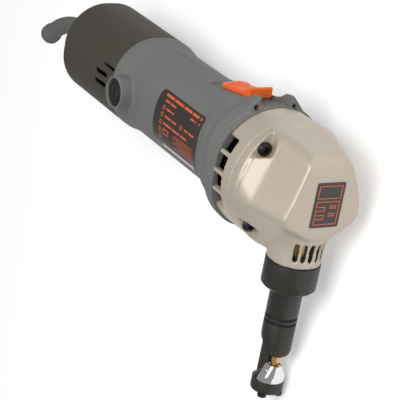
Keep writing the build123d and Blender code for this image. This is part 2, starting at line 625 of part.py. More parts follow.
def slider_pad():
    """Thumb slider: a low crowned pad that rises to a block at the front, with its stem below."""
    rear = COLLAR_X - SLIDER_REAR
    front = rear + SLIDER_LENGTH
    step = front - SLIDER_BLOCK
    low, rise, high = SLIDER_TOP - SLIDER_CROWN, SLIDER_TOP - SLIDER_RISE, SLIDER_TOP - SLIDER_STEP
    crown = ThreePointArc((rear, low), (rear + 13, low + 3.0), (step - 7, rise))
    ramp = ThreePointArc((step - 7, rise), (step - 3, rise + 0.9), (step, high))
    block_top = Polyline((step, high), (front - 0.8, SLIDER_TOP), (front, SLIDER_TOP - 0.7),
                         (front, SLIDER_BASE), (rear + 14, low - 0.9), (rear, low - SLIDER_LIP), (rear, low))
    pad = extrude(Plane.XZ * make_face(crown + ramp + block_top), SLIDER_HALF, both=True)
    plan = Pos(rear + SLIDER_HALF, 0, 0) * Cylinder(SLIDER_HALF, 120)
    plan += block(rear + SLIDER_HALF, front, -SLIDER_HALF, SLIDER_HALF, 0, 60)
    pad = pad & plan
    rim = [e for e in pad.edges() if e.bounding_box().min.Z > low - 0.3 and abs(e.center().Y) > 1]
    pad = fillet([e for e in rim if e.bounding_box().max.X < step + 0.1], SLIDER_ROUND)
    stem_x = rear + 7.0
    pad += block(stem_x, stem_x + 8.0, -ROD_HALF, ROD_HALF, ROD_TOP - ROD_THICKNESS, 34.0)
    return pad


def switch_rod():
    """Flat rod from the slider's stem back to the switch."""
    stem_x = COLLAR_X - SLIDER_REAR + 7.0
    end = JOINT_X - 24.0
    rod = block(end, stem_x, -ROD_HALF, ROD_HALF, ROD_TOP - ROD_THICKNESS, ROD_TOP)
    rod += block(end, end + 2.0, -ROD_HALF, ROD_HALF, ROD_TOP - 4.0, ROD_TOP)
    return rod


def power_switch():
    """Switch body in the rear cover, with the lever that the rod pulls."""
    x1 = JOINT_X - 24.0 - 0.6
    long, wide, tall = SWITCH_SIZE
    top = ROD_TOP - 1.0
    body = block(x1 - long, x1 - 2.0, -wide / 2, wide / 2, top - tall, top)
    body += block(x1 - 2.0, x1, -2.0, 2.0, top - 5.0, top - 1.5)
    return body


def capacitor():
    """Suppression capacitor: a small round can under the switch."""
    can = rod_x(CAPACITOR_RADIUS, JOINT_X - 48, JOINT_X - 24, 0, CAPACITOR_Z)
    return fillet(can.edges().filter_by(GeomType.CIRCLE), 1.0)


def gear_ring():
    """Cast ring between collar and gear case: comb vents, web, bearing seat and bush seat."""
    web_x = SEAM_X - 10.0
    body = rod_x(RING_RADIUS, COLLAR_X, SEAM_X) - rod_x(RING_RADIUS - RING_WALL, COLLAR_X - 1, SEAM_X + 1)
    body += rod_x(RING_RADIUS - 1, web_x, web_x + WEB_THICKNESS)
    body += rod_x(BEARING_OUTER + 3.0, web_x - BEARING_WIDTH, web_x + 1)
    body -= rod_x(BEARING_OUTER + 0.02, web_x - BEARING_WIDTH - 1, web_x)
    body -= rod_x(SHAFT_RADIUS + 3.2, web_x - 1, web_x + WEB_THICKNESS + 1)
    body -= rod_x(COUNTER_RADIUS + BUSH_WALL + 0.02, web_x - 1, web_x + WEB_THICKNESS + 1, 0, GEAR_CENTRES)
    for y, z in CASE_SCREWS:
        body += rod_x(SCREW_SHANK + 2.6, COLLAR_X, SEAM_X, y, z) & rod_x(RING_RADIUS, COLLAR_X, SEAM_X)
    for side in (0, 180):
        for i in range(SLOTS):
            angle = SLOT_FIRST - SLOT_PITCH * i
            body -= comb_slot(180 - angle if side else angle)
    for y, z in CASE_SCREWS:
        body -= rod_x(SCREW_SHANK + FIT, COLLAR_X - 1, SEAM_X + 1, y, z)
    return body


def comb_slot(angle):
    """One vent slot, open at the ring's rear edge, as a sector across the wall."""
    half = radians(SLOT_ANGLE / 2)
    near, far = RING_RADIUS - RING_WALL - 3.0, RING_RADIUS + 2.0
    corners = [(near * cos(half), -near * sin(half)), (far * cos(half), -far * sin(half)),
               (far * cos(half), far * sin(half)), (near * cos(half), near * sin(half))]
    sector = Plane.YZ.offset(COLLAR_X - 1) * make_face(Polyline(*corners, close=True))
    return Rot(angle, 0, 0) * extrude(sector, SLOT_DEPTH + 1)


def shield(x, corners):
    """Six-sided section of the gear case block at station x, from its (y, z, rounding) right corners."""
    right = [(y, z) for y, z, _ in corners]
    left = [(-y, z) for y, z in reversed(right)]
    face = make_face(Polyline(*(right + left), close=True))
    for y, z, rounding in corners:
        pair = [v for v in face.vertices() if abs(abs(v.X) - y) < 0.01 and abs(v.Y - z) < 0.01]
        face = fillet(pair, rounding)
    return Plane.YZ.offset(x) * face


def case_body():
    """Outer form of the gear case: flange, faceted block, flared neck and threaded spigot."""
    flange_x = SEAM_X + FLANGE_DEPTH
    flange = rod_x(RING_RADIUS, SEAM_X, flange_x)
    flange = fillet(flange.edges().filter_by_position(Axis.X, flange_x - 0.1, flange_x + 0.1), FLANGE_EDGE)
    rear, middle = shield(SEAM_X + BLOCK_REAR_X, BLOCK_REAR), shield(SEAM_X + BLOCK_MID_X, BLOCK_MID)
    front = loft([middle, shield(FRONT_X, BLOCK_FRONT)], ruled=True) & top_rounding()
    rim = front.edges().filter_by_position(Axis.X, FRONT_X - 0.1, FRONT_X + 0.1)
    front = fillet([e for e in rim if e.bounding_box().max.Z < 0 or e.length < 32], FACE_ROUND)
    form = extrude(shield(SEAM_X + 4, BLOCK_REAR), BLOCK_REAR_X - 4) + loft([rear, middle], ruled=True)
    form += front
    saddle = block(SEAM_X + 4, 0, -NECK_RADIUS, NECK_RADIUS, -NECK_LENGTH + 3.5, 0)
    saddle = fillet(saddle.edges().filter_by(Axis.X).filter_by_position(Axis.Z, -NECK_LENGTH, -10), 3.0)
    body = flange + form + saddle + neck_form()
    body += rod_z(SPIGOT_RADIUS, -NECK_LENGTH - SPIGOT_LENGTH, -NECK_LENGTH + 1)
    return body


def top_rounding():
    """Room under the large rounding that runs from the block's top to its front face."""
    x0, z0 = SEAM_X + BLOCK_MID_X, BLOCK_MID[0][1] + 0.05
    slope = (BLOCK_MID[0][1] - BLOCK_FRONT[0][1]) / (FRONT_X - x0)
    z1 = BLOCK_FRONT[0][1] + 0.05
    side = make_face(Polyline((x0 - 5, z0 + 5 * slope), (FRONT_X, z1), (FRONT_X, -60), (x0 - 5, -60),
                              close=True))
    corner = side.vertices().sort_by_distance((FRONT_X, z1, 0))[0]
    return extrude(Plane.XZ * fillet(corner, TOP_ROUND), 60, both=True)


def neck_form():
    """Neck round the ram's axis, flared up to the block."""
    wide = NECK_RADIUS + NECK_FLARE
    middle = (NECK_FLARE_END + NECK_FLARE_TOP) / 2 - 0.4
    side = ThreePointArc((NECK_RADIUS, NECK_FLARE_END), (NECK_RADIUS + 0.22 * NECK_FLARE, middle),
                         (wide, NECK_FLARE_TOP))
    rest = Polyline((wide, NECK_FLARE_TOP), (wide, NECK_FLARE_TOP + 3), (0, NECK_FLARE_TOP + 3),
                    (0, -NECK_LENGTH), (NECK_RADIUS, -NECK_LENGTH), (NECK_RADIUS, NECK_FLARE_END))
    return revolve(Plane.XZ * make_face(side + rest), Axis.Z)


def gear_case():
    """Cast gear case with its gear space, crank chamber, bearing seats, vents and screw pockets."""
    body = case_body()
    body -= rod_x(RING_RADIUS - RING_WALL, SEAM_X - 1, SEAM_X + FLANGE_DEPTH - 4.6)
    body -= gear_space(0.0, SEAM_X - 1, PLATE_X + PLATE_THICKNESS)
    chamber_x = PLATE_X + PLATE_THICKNESS
    chamber = block(chamber_x - 1, chamber_x + CHAMBER_DEPTH, -16.8, 16.8, -CHAMBER_HALF, CHAMBER_HALF)
    body -= fillet(chamber.edges().filter_by(Axis.X), 4.0)
    seat_x = chamber_x + CHAMBER_DEPTH
    body -= rod_x(BEARING_OUTER + 0.02, seat_x - 1, seat_x + BEARING_WIDTH)
    body -= rod_z(BUSH_OUTER + 0.02, -NECK_LENGTH - SPIGOT_LENGTH - 1, BUSH_TOP + 0.3)
    for i in range(NECK_SLOTS):
        angle = NECK_SLOT_PITCH * (i - (NECK_SLOTS - 1) / 2)
        body -= Rot(0, 0, angle) * neck_slot()
    for y, z in CASE_SCREWS:
        seat = SEAM_X + FLANGE_DEPTH - 1.6
        body -= screw_pocket(seat, y, z)
        body -= rod_x(SCREW_SHANK + FIT, SEAM_X - 1, seat + 1, y, z)
    return body


def screw_pocket(seat, y, z):
    """Corner notch round one case screw: open to the outside, with drafted inner walls."""
    reach = 30.0
    centre_y = copysign(abs(y) - POCKET_RADIUS + reach, y)
    centre_z = copysign(abs(z) - POCKET_RADIUS + reach, z)
    corner = Pos(centre_y, centre_z) * RectangleRounded(2 * reach, 2 * reach, POCKET_RADIUS)
    return extrude(Plane.YZ.offset(seat) * corner, POCKET_REACH, taper=POCKET_DRAFT)


def gear_space(inset, x0, x1):
    """Room for the second gear stage and the bearing plate, flat at the bottom above the ram's bush."""
    outline = Pos(0, GEAR_ROOM_RISE) * Ellipse(GEAR_ROOM_HALF - inset, GEAR_ROOM_HEIGHT - inset)
    room = extrude(Plane.YZ.offset(x0) * outline, x1 - x0)
    return room - block(x0 - 1, x1 + 1, -40, 40, -60, GEAR_ROOM_FLOOR + inset)


def neck_slot():
    """Upright vent slot with round ends in the front of the neck."""
    half = NECK_SLOT_WIDTH / 2
    x0, x1 = BUSH_OUTER - 1.0, NECK_RADIUS + 6
    slot = block(x0, x1, -half, half, NECK_SLOT_END + half, NECK_SLOT_TOP - half)
    slot += rod_x(half, x0, x1, 0, NECK_SLOT_END + half)
    slot += rod_x(half, x0, x1, 0, NECK_SLOT_TOP - half)
    return slot


def bearing_plate():
    """Plate that closes the crank chamber and carries the crank's rear bearing."""
    plate = gear_space(FIT, PLATE_X, PLATE_X + PLATE_THICKNESS - FIT)
    plate -= rod_x(BEARING_OUTER + 0.02, PLATE_X - 1, PLATE_X + BEARING_WIDTH)
    plate -= rod_x(SHAFT_RADIUS + 1.5, PLATE_X - 1, PLATE_X + PLATE_THICKNESS + 1)
    plate -= rod_x(COUNTER_RADIUS + BUSH_WALL + 0.02, PLATE_X - 1, PLATE_X + 6, 0, GEAR_CENTRES)
    return plate


def counter_bushes():
    """Plain bushes for both ends of the countershaft."""
    web_x = SEAM_X - 10.0
    bushes = []
    for x0, x1 in ((web_x, web_x + WEB_THICKNESS), (PLATE_X, PLATE_X + 6)):
        bushes.append(rod_x(COUNTER_RADIUS + BUSH_WALL, x0, x1, 0, GEAR_CENTRES)
                      - rod_x(COUNTER_RADIUS + FIT, x0 - 1, x1 + 1, 0, GEAR_CENTRES))
    return bushes


def countershaft():
    """Countershaft with the second pinion cut on it."""
    shaft = rod_x(COUNTER_RADIUS, SEAM_X - 10.0 + 0.2, PLATE_X + 5.8, 0, GEAR_CENTRES)
    pinion = gear_wheel(PINION_TEETH, SECOND_GEAR_X - 0.5, SECOND_GEAR_WIDTH + 1.0, 0)
    return shaft + Pos(0, 0, GEAR_CENTRES) * pinion


def first_gear():
    """Large gear of the first stage, on the countershaft, in mesh with the motor pinion."""
    wheel = gear_wheel(GEAR_TEETH, FIRST_GEAR_X, FIRST_GEAR_WIDTH, COUNTER_RADIUS)
    return Pos(0, 0, GEAR_CENTRES) * (Rot(mesh_turn(-90.0), 0, 0) * wheel)


def crank_gear():
    """Large gear of the second stage, on the crankshaft, in mesh with the second pinion."""
    wheel = gear_wheel(GEAR_TEETH, SECOND_GEAR_X, SECOND_GEAR_WIDTH, SHAFT_RADIUS)
    return Rot(mesh_turn(90.0), 0, 0) * wheel


def mesh_turn(towards):
    """Turn that puts a gap of the large gear where a tooth of its pinion points, on the line of centres."""
    pinion_step = 360.0 / PINION_TEETH
    gear_step = 360.0 / GEAR_TEETH
    facing = towards + 180.0
    pinion_phase = (facing / pinion_step) % 1.0
    gear_phase = (0.5 - pinion_phase) % 1.0
    return towards - gear_phase * gear_step


def crankshaft():
    """Crankshaft with the eccentric journal between its two bearings."""
    chamber_x = PLATE_X + PLATE_THICKNESS
    end = chamber_x + CHAMBER_DEPTH + BEARING_WIDTH - 0.2
    shaft = rod_x(SHAFT_RADIUS, SECOND_GEAR_X - 0.6, end)
    shaft += rod_x(JOURNAL_RADIUS, -ROLLER_WIDTH / 2 - 0.6, ROLLER_WIDTH / 2 + 0.6, CRANK_THROW, 0)
    return shaft


def eccentric_roller():
    """Roller ring on the eccentric journal."""
    ring = rod_x(ROLLER_RADIUS, -ROLLER_WIDTH / 2, ROLLER_WIDTH / 2, CRANK_THROW, 0)
    return ring - rod_x(JOURNAL_RADIUS, -9, 9, CRANK_THROW, 0)


def ram():
    """Ram with the cross yoke round the eccentric and a socket for the punch holder."""
    clear = ROLLER_RADIUS + 2 * CRANK_THROW + GAP
    wide = ROLLER_RADIUS + CRANK_THROW + 0.9
    half = YOKE_THICKNESS / 2
    body = block(-half, half, -wide - YOKE_WALL, wide + YOKE_WALL, -clear - YOKE_WALL, clear + YOKE_WALL)
    body = fillet(body.edges().filter_by(Axis.X), 3.0)
    body += rod_z(RAM_RADIUS, RAM_END, RAM_ROUND_TOP)
    body += rod_z(RAM_RADIUS, RAM_ROUND_TOP - 1, -clear - 0.5) & block(-half, half, -9, 9, -40, 0)
    body -= block(-half - 4, half + 4, -wide, wide, -clear, clear)
    body -= rod_z(STEM_RADIUS + FIT, RAM_END - 1, RAM_END + STEM_LENGTH + 0.3)
    body -= rod_x(1.3, -RAM_RADIUS - 1, RAM_RADIUS + 1, STEM_RADIUS - 0.3, RAM_END + 6.0)
    return body


def ram_pin():
    """Cross pin of the ram that runs in the groove of the punch holder."""
    pin = rod_x(1.25, -RAM_RADIUS + 0.6, RAM_RADIUS - 0.6, STEM_RADIUS - 0.3, RAM_END + 6.0)
    return pin & rod_z(RAM_RADIUS - 0.3, -90, 0)


def punch_holder():
    """Lower end of the ram's train: it turns in the ram and carries the punch off centre."""
    body = rod_z(RAM_RADIUS, HOLDER_END, RAM_END - 0.3)
    body += rod_z(STEM_RADIUS, RAM_END - 1, RAM_END + STEM_LENGTH)
    groove = rod_z(STEM_RADIUS + 1, RAM_END + 4.5, RAM_END + 7.5) - rod_z(STEM_RADIUS - 1.7, -90, 0)
    body -= groove
    body -= rod_z(PUNCH_RADIUS, HOLDER_END - 1, PUNCH_TOP, x=PUNCH_OFFSET)
    return body - rod_y(1.05, -9, 9, x=PUNCH_OFFSET - PUNCH_RADIUS, z=HOLDER_END + 7)


def punch():
    """Round punch with the cutting notch on its front and the pilot below it."""
    body = rod_z(PUNCH_RADIUS, PUNCH_TIP, PUNCH_TOP - 0.2, x=PUNCH_OFFSET)
    front = PUNCH_OFFSET + PUNCH_RADIUS
    body -= block(front - NOTCH_DEPTH, front + 1, -4, 4, NOTCH_TOP - NOTCH_HEIGHT, NOTCH_TOP)
    return body - rod_y(1.1, -9, 9, x=PUNCH_OFFSET - PUNCH_RADIUS, z=HOLDER_END + 7)


def punch_pin():
    """Pin across the holder that keys and holds the punch."""
    return rod_y(1.0, -5.0, 5.0, x=PUNCH_OFFSET - PUNCH_RADIUS, z=HOLDER_END + 7)


def guide_bush():
    """Bronze bush of the ram in the neck."""
    return rod_z(BUSH_OUTER, -NECK_LENGTH - SPIGOT_LENGTH, BUSH_TOP) - rod_z(RAM_RADIUS + FIT, -60, 0)


def lock_nut():
    """Lock nut over the spigot, with a lower shoulder and two spanner flats."""
    top = -NECK_LENGTH - 0.35
    floor = -NECK_LENGTH - SPIGOT_LENGTH - 4.6
    body = turned_z([(NUT_RADIUS, top), (NUT_RADIUS, NUT_END + 1.6), (NUT_RADIUS - 1.6, NUT_END)])
    body -= rod_z(SPIGOT_RADIUS + FIT, floor, top + 1)
    body -= rod_z(BARREL_RADIUS + 0.15, NUT_END - 1, floor + 1)
    for turn in (NUT_FLAT_ANGLE, NUT_FLAT_ANGLE + 180):
        cut = block(NUT_FLAT, NUT_RADIUS + 2, -NUT_RADIUS, NUT_RADIUS, NUT_END - 1, NUT_END + NUT_FLAT_HEIGHT)
        body -= Rot(0, 0, turn) * cut
    return body


def die_holder():
    """Barrel with grooves and slanted end, the rear post through the kerf, and the foot, in one piece."""
    shoulder = -NECK_LENGTH - SPIGOT_LENGTH - 4.6
    top = -NECK_LENGTH - SPIGOT_LENGTH - 0.3
    barrel = rod_z(BARREL_RADIUS, STRIPPER_END - 3, top) + rod_z(SPIGOT_RADIUS - 0.3, shoulder + 0.05, top)
    for z in (GROOVE_ONE, GROOVE_TWO):
        barrel -= rod_z(BARREL_RADIUS + 1, z - GROOVE_WIDTH / 2, z + GROOVE_WIDTH / 2) \
            - rod_z(BARREL_RADIUS - GROOVE_DEPTH, DIE_BASE, 0)
    below = Box(90, 60, 60, align=(Align.CENTER, Align.CENTER, Align.MAX))
    barrel -= Pos(0, 0, CUT_HEIGHT) * Rot(0, CUT_SLOPE, 0) * below
    stripper = rod_z(STRIPPER_RADIUS, STRIPPER_END, CUT_HEIGHT, x=PUNCH_OFFSET)
    post = block(-BARREL_RADIUS, POST_FRONT, -POST_HALF, POST_HALF, DIE_BASE - 1, CUT_HEIGHT + 12)
    post = post & rod_z(BARREL_RADIUS, FOOT_END, 0)
    slope = turned_z([(FOOT_RADIUS, DIE_BASE - 3), (FOOT_RADIUS, DIE_BASE - 1),
                      (FOOT_RADIUS - FOOT_RISE, DIE_BASE + FOOT_RISE)])
    post += slope & block(-FOOT_RADIUS, POST_FRONT, -FOOT_RADIUS, FOOT_RADIUS, FOOT_END, DIE_TOP)
    foot = rod_z(FOOT_RADIUS, FOOT_END, DIE_BASE)
    foot = fillet(foot.edges().filter_by_position(Axis.Z, FOOT_END - 0.1, FOOT_END + 0.1), 1.4)
    body = barrel + stripper + post + foot
    body -= rod_z(RAM_RADIUS + 0.1, HOLDER_END - 3.4, 0)
    body -= rod_z(PUNCH_RADIUS + FIT, STRIPPER_END - 1, HOLDER_END, x=PUNCH_OFFSET)
    body -= rod_z(SLUG_RADIUS, FOOT_END - 1, DIE_BASE + 1, x=PUNCH_OFFSET)
    for y in (-DIE_SCREW_Y, DIE_SCREW_Y):
        body -= rod_z(DIE_SCREW_SHANK + FIT, FOOT_END - 1, DIE_BASE + 1, x=DIE_SCREW_X, y=y)
    return body


def die():
    """Die: a lopsided cone with a flat back, two slanted cheeks and the cutting hole below the punch."""
    cone = loft([Pos(0, 0, DIE_SHOULDER) * Circle(DIE_RADIUS),
                 Pos(PUNCH_OFFSET, 0, DIE_TOP) * Circle(DIE_TOP_RADIUS)])
    body = cone + rod_z(DIE_RADIUS, DIE_BASE, DIE_SHOULDER)
    body = body & block(DIE_REAR, DIE_RADIUS, -DIE_RADIUS, DIE_RADIUS, DIE_BASE, DIE_TOP)
    for side in (-1, 1):
        cheek = Box(40, 20, 60, align=(Align.CENTER, Align.MIN, Align.CENTER))
        cheek = Pos(0, CHEEK_TOP, DIE_TOP) * Rot(CHEEK_SLOPE, 0, 0) * cheek
        body -= cheek if side > 0 else mirror(cheek, Plane.XZ)
    body -= rod_z(PUNCH_RADIUS + 0.08, DIE_TOP - 6.5, DIE_TOP + 1, x=PUNCH_OFFSET)
    body -= rod_z(DIE_RIM, DIE_TOP - DIE_RIM_DEPTH, DIE_TOP + 1, x=PUNCH_OFFSET)
    body -= rod_z(SLUG_RADIUS, DIE_BASE - 1, DIE_TOP - 6.0, x=PUNCH_OFFSET)
    body -= rod_y(0.6, -DIE_RADIUS, -CHEEK_TOP - 0.8, x=PUNCH_OFFSET + 1.4, z=DIE_TOP - 3.6)
    for y in (-DIE_SCREW_Y, DIE_SCREW_Y):
        body -= rod_z(DIE_SCREW_SHANK + FIT, DIE_BASE - 1, DIE_BASE + 2.2, x=DIE_SCREW_X, y=y)
    return body


def die_screws():
    """Two cap screws that hold the die from below."""
    screws = []
    for y in (-DIE_SCREW_Y, DIE_SCREW_Y):
        screw = rod_z(DIE_SCREW_HEAD, FOOT_END - DIE_SCREW_HEAD_HEIGHT, FOOT_END, x=DIE_SCREW_X, y=y)
        screw += rod_z(DIE_SCREW_SHANK, FOOT_END - 1, DIE_BASE + 2.0, x=DIE_SCREW_X, y=y)
        screws.append(screw)
    return screws


def case_screws():
    """Four pan-head screws that hold case, ring and housing together."""
    seat = SEAM_X + FLANGE_DEPTH - 1.6
    screws = []
    for y, z in CASE_SCREWS:
        head = turned_x([(seat, SCREW_HEAD), (seat + 1.6, SCREW_HEAD), (seat + SCREW_HEAD_HEIGHT, 2.6)])
        screws.append(Pos(0, y, z) * (head + rod_x(SCREW_SHANK, seat - CASE_SCREW_LENGTH + 6, seat + 1)))
    return screws


def cover_screws():
    """Four long screws through the rear cover into the motor housing."""
    screws = []
    for y, z in COVER_SCREWS:
        screw = rod_x(COVER_SCREW_HEAD, BACK_X + 0.2, BACK_X + SUNK_HEAD, y, z)
        screw += rod_x(SCREW_SHANK, BACK_X + 1, JOINT_X + COVER_SCREW_GRIP - 1, y, z)
        screws.append(screw)
    return screws


def guard_end():
    """Start point and direction of the guard's straight end piece."""
    turn = radians(GUARD_BEND)
    x = BACK_X - GUARD_STRAIGHT - GUARD_BEND_RADIUS * sin(turn)
    return (x, 0.0, -GUARD_BEND_RADIUS * (1 - cos(turn))), (-cos(turn), 0.0, -sin(turn))


def guard_core(waist, x_inside, grow):
    """Bent rod along the guard: straight part, circular bend and straight end, of one radius."""
    bend_x = BACK_X - GUARD_STRAIGHT
    end, way = guard_end()
    core = rod_x(waist, bend_x, x_inside)
    ring = Plane(origin=(bend_x, 0, 0), x_dir=(0, 1, 0), z_dir=(1, 0, 0)) * Circle(waist)
    core += revolve(ring, Axis((bend_x, 0, -GUARD_BEND_RADIUS), (0, -1, 0)), GUARD_BEND)
    tail = Plane(origin=end, x_dir=(0, 1, 0), z_dir=way)
    return core + tail * rod_z(waist, 0, BEAD_LENGTH + grow), tail


def cord_guard():
    """Rubber sleeve of the supply cord: tapered, bent down, with a bead round its open end."""
    flange_x = BACK_X + TAIL_INSIDE
    bend_x = BACK_X - GUARD_STRAIGHT
    body, tail = guard_core(GUARD_WAIST, BACK_X, -0.5)
    body += turned_x([(bend_x + 1, GUARD_WAIST), (BACK_X - 6, GUARD_BASE - 0.2),
                      (BACK_X - 3, GUARD_BASE + 1.6), (BACK_X - 0.05, GUARD_BASE + 1.6),
                      (BACK_X - 0.05, GUARD_BASE), (flange_x, GUARD_BASE)])
    bead = Cylinder(BEAD_RADIUS, BEAD_LENGTH, align=LOW)
    body += tail * fillet(bead.edges().filter_by(GeomType.CIRCLE), 2.6)
    bore, _ = guard_core(GUARD_BORE, flange_x + 1, 1.0)
    return body - bore


def cord_clamp():
    """Clamp saddle that holds the cord down on the shelf inside the cover."""
    x0 = BACK_X + TAIL_INSIDE + 2.0
    bar = block(x0, x0 + 8.0, -14.0, 14.0, 0.02 - GUARD_BORE, GUARD_BORE + 3.5)
    bar -= rod_x(GUARD_BORE, x0 - 1, x0 + 9)
    for y in (-10.5, 10.5):
        bar -= rod_z(SCREW_SHANK + FIT, -10, 10, x=x0 + 4.0, y=y)
    return bar


def clamp_screws():
    """Two screws of the cord clamp."""
    x = BACK_X + TAIL_INSIDE + 6.0
    top = GUARD_BORE + 3.5
    screws = []
    for y in (-10.5, 10.5):
        head = rod_z(3.4, top, top + 2.2, x=x, y=y)
        screws.append(head + rod_z(SCREW_SHANK, -GUARD_BORE, top + 1, x=x, y=y))
    return screws


def nodes():
    """Every piece of the tool in the tool's frame, by node name."""
    holders, brushes, springs, caps = brush_parts()
    chamber_x = PLATE_X + PLATE_THICKNESS
    return {
        "motor_housing": motor_housing(),
        "rear_cover": rear_cover(),
        "cover_screws": cover_screws(),
        "end_bridge": end_bridge(),
        "rear_bearing": ball_bearing(JOINT_X - 3.0 - BEARING_WIDTH),
        "stator_core": stator_core(),
        "field_coils": field_coils(),
        "brush_holders": holders,
        "carbon_brushes": brushes,
        "brush_springs": springs,
        "brush_caps": caps,
        "armature_shaft": armature_shaft(),
        "armature_core": armature_core(),
        "armature_windings": armature_windings(),
        "commutator": commutator(),
        "cooling_fan": cooling_fan(),
        "front_bearing": ball_bearing(SEAM_X - 10.0 - BEARING_WIDTH),
        "switch_slider": slider_pad(),
        "switch_rod": switch_rod(),
        "power_switch": power_switch(),
        "capacitor": capacitor(),
        "cord_guard": cord_guard(),
        "cord_clamp": cord_clamp(),
        "clamp_screws": clamp_screws(),
        "gear_ring": gear_ring(),
        "gear_case": gear_case(),
        "case_screws": case_screws(),
        "bearing_plate": bearing_plate(),
        "counter_bushes": counter_bushes(),
        "countershaft": countershaft(),
        "first_gear": first_gear(),
        "crank_gear": crank_gear(),
        "crankshaft": crankshaft(),
        "crank_bearings": [ball_bearing(PLATE_X), ball_bearing(chamber_x + CHAMBER_DEPTH)],
        "eccentric_roller": eccentric_roller(),
        "ram": ram(),
        "ram_pin": ram_pin(),
        "guide_bush": guide_bush(),
        "punch_holder": punch_holder(),
        "punch": punch(),
        "punch_pin": punch_pin(),
        "lock_nut": lock_nut(),
        "die_holder": die_holder(),
        "die": die(),
        "die_screws": die_screws(),
    }


def rest_plane():
    """Plane of the tool's frame that lies level at rest, on boss, collar and foot."""
    roll, yaw = 0.23, 0.0
    for _ in range(30):
        down = Vector(-sin(yaw), cos(yaw) * cos(roll), -cos(yaw) * sin(roll))
        inset = COLLAR_HALF - COLLAR_CORNER
        collar = down.dot(Vector(COLLAR_X, inset, -inset)) + COLLAR_CORNER * sqrt(down.Y ** 2 + down.Z ** 2)
        boss = down.dot(Vector(BRUSH_X, BOSS_REACH, 0)) + BOSS_RADIUS * sqrt(down.X ** 2 + down.Z ** 2)
        foot = down.dot(Vector(0, 0, FOOT_END + 1.4)) + FOOT_RADIUS * sqrt(down.X ** 2 + down.Y ** 2)
        roll += (collar - foot) / -FOOT_END
        yaw += (boss - collar) / (BRUSH_X - COLLAR_X)
    return Plane(origin=(0, 0, 0), x_dir=Vector(1, 0, 0) - down * down.X, z_dir=down * -1)


def as_shape(piece):
    """A node's solids as one shape."""
    if isinstance(piece, list):
        solids = [s for p in piece for s in p.solids()]
        return Compound(children=solids)
    found = piece.solids()
    return found[0] if len(found) == 1 else Compound(children=list(found))


def main():
    """Build every piece, lay the tool down and write one STEP file for each node."""
    os.makedirs("parts", exist_ok=True)
    down = rest_plane().location.inverse()
    shapes = {name: as_shape(piece).moved(down) for name, piece in nodes().items()}
    box = Compound(children=[s.moved(Location((0, 0, 0))) for s in shapes.values()]).bounding_box()
    level = Location((-(box.min.X + box.max.X) / 2, -(box.min.Y + box.max.Y) / 2, -box.min.Z))
    for name, shape in shapes.items():
        export_step(shape.moved(level), os.path.join("parts", name + ".step"))
    print("size", round(box.size.X, 2), round(box.size.Y, 2), round(box.size.Z, 2))


if __name__ == "__main__":
    main()
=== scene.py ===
import json
import math

import bpy
import numpy as np
from bpy.props import FloatProperty, FloatVectorProperty, IntProperty, PointerProperty
from mathutils import Matrix, Vector

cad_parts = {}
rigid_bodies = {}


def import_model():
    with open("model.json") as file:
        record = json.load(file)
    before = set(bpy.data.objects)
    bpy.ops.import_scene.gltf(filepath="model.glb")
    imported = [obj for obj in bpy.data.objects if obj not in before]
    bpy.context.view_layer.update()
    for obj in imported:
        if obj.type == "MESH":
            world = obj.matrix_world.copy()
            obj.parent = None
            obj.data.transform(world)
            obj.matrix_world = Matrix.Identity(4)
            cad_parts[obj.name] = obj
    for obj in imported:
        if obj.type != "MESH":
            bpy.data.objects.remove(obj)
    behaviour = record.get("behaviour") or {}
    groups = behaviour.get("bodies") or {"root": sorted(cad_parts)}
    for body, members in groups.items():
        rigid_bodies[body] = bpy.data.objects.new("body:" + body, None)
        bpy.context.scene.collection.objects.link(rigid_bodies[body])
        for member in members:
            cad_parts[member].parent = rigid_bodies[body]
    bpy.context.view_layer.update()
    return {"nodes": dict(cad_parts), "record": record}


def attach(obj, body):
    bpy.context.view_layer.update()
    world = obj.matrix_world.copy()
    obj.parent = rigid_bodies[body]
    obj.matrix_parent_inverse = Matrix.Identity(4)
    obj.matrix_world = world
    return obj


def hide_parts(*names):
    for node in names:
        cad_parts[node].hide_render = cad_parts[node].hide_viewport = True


bl_info = {
    "name": "Electric nibbler",
    "version": (1, 0, 0),
    "blender": (4, 5, 0),
    "location": "3D View > Sidebar > Nibbler",
    "description": "Dresses the solids of an electric nibbler with finished surfaces",
    "category": "Object",
}

for leftover in list(bpy.data.objects):
    bpy.data.objects.remove(leftover)
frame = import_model()

MM = 0.001
DONE = {"FINISHED"}


def tool_placement():
    """The tool's own frame: X along the motor, Z up the ram, origin where the two axes cross."""
    joints = {joint["name"]: joint for joint in frame["record"]["behaviour"]["joints"]}
    along = Vector(joints["crank_spin"]["axis"]).normalized()
    up = Vector(joints["ram_stroke"]["axis"]).normalized()
    place = Matrix((along, up.cross(along), up)).transposed().to_4x4()
    place.translation = Vector(joints["crank_spin"]["pos_m"])
    return place


TOOL = tool_placement()

# Stations along the motor and radii, in millimetres of the tool's own frame
FRONT_X = 21.0
SEAM_X = -24.6
COLLAR_X = -44.0
SLIDER_REAR_X = COLLAR_X - 59.5
BRUSH_X = -175.0
BOSS_RADIUS = 11.0
GRIP_RADIUS = 30.4
RING_RADIUS = 39.4
RING_BORE = 36.4
NECK_BORE = 15.7
CASE_SCREW_PLACE = 24.466
DIE_SCREW_PLACE = (4.9, 5.7)
MARKS_X = -49.6
# Rating plate (along the motor, then round the grip) and nose plate (to the left, then upwards)
GRIP_PLATE = (-135.2, -80.0, -19.8, 18.8)
PALE_BAR = (-123.5, -84.5, -17.4, -15.4)
NOSE_PLATE = (-10.0, 10.0, -10.0, 18.5)
GRIP_CLEAR = 34.0
# Both pull the right side of the gear case in: place across and up, reach and depth
PULLS = ((31.0, -8.5, 7.0, 2.2), (22.0, 30.0, 9.0, 2.6))


# ---------------------------------------------------------------- making pieces

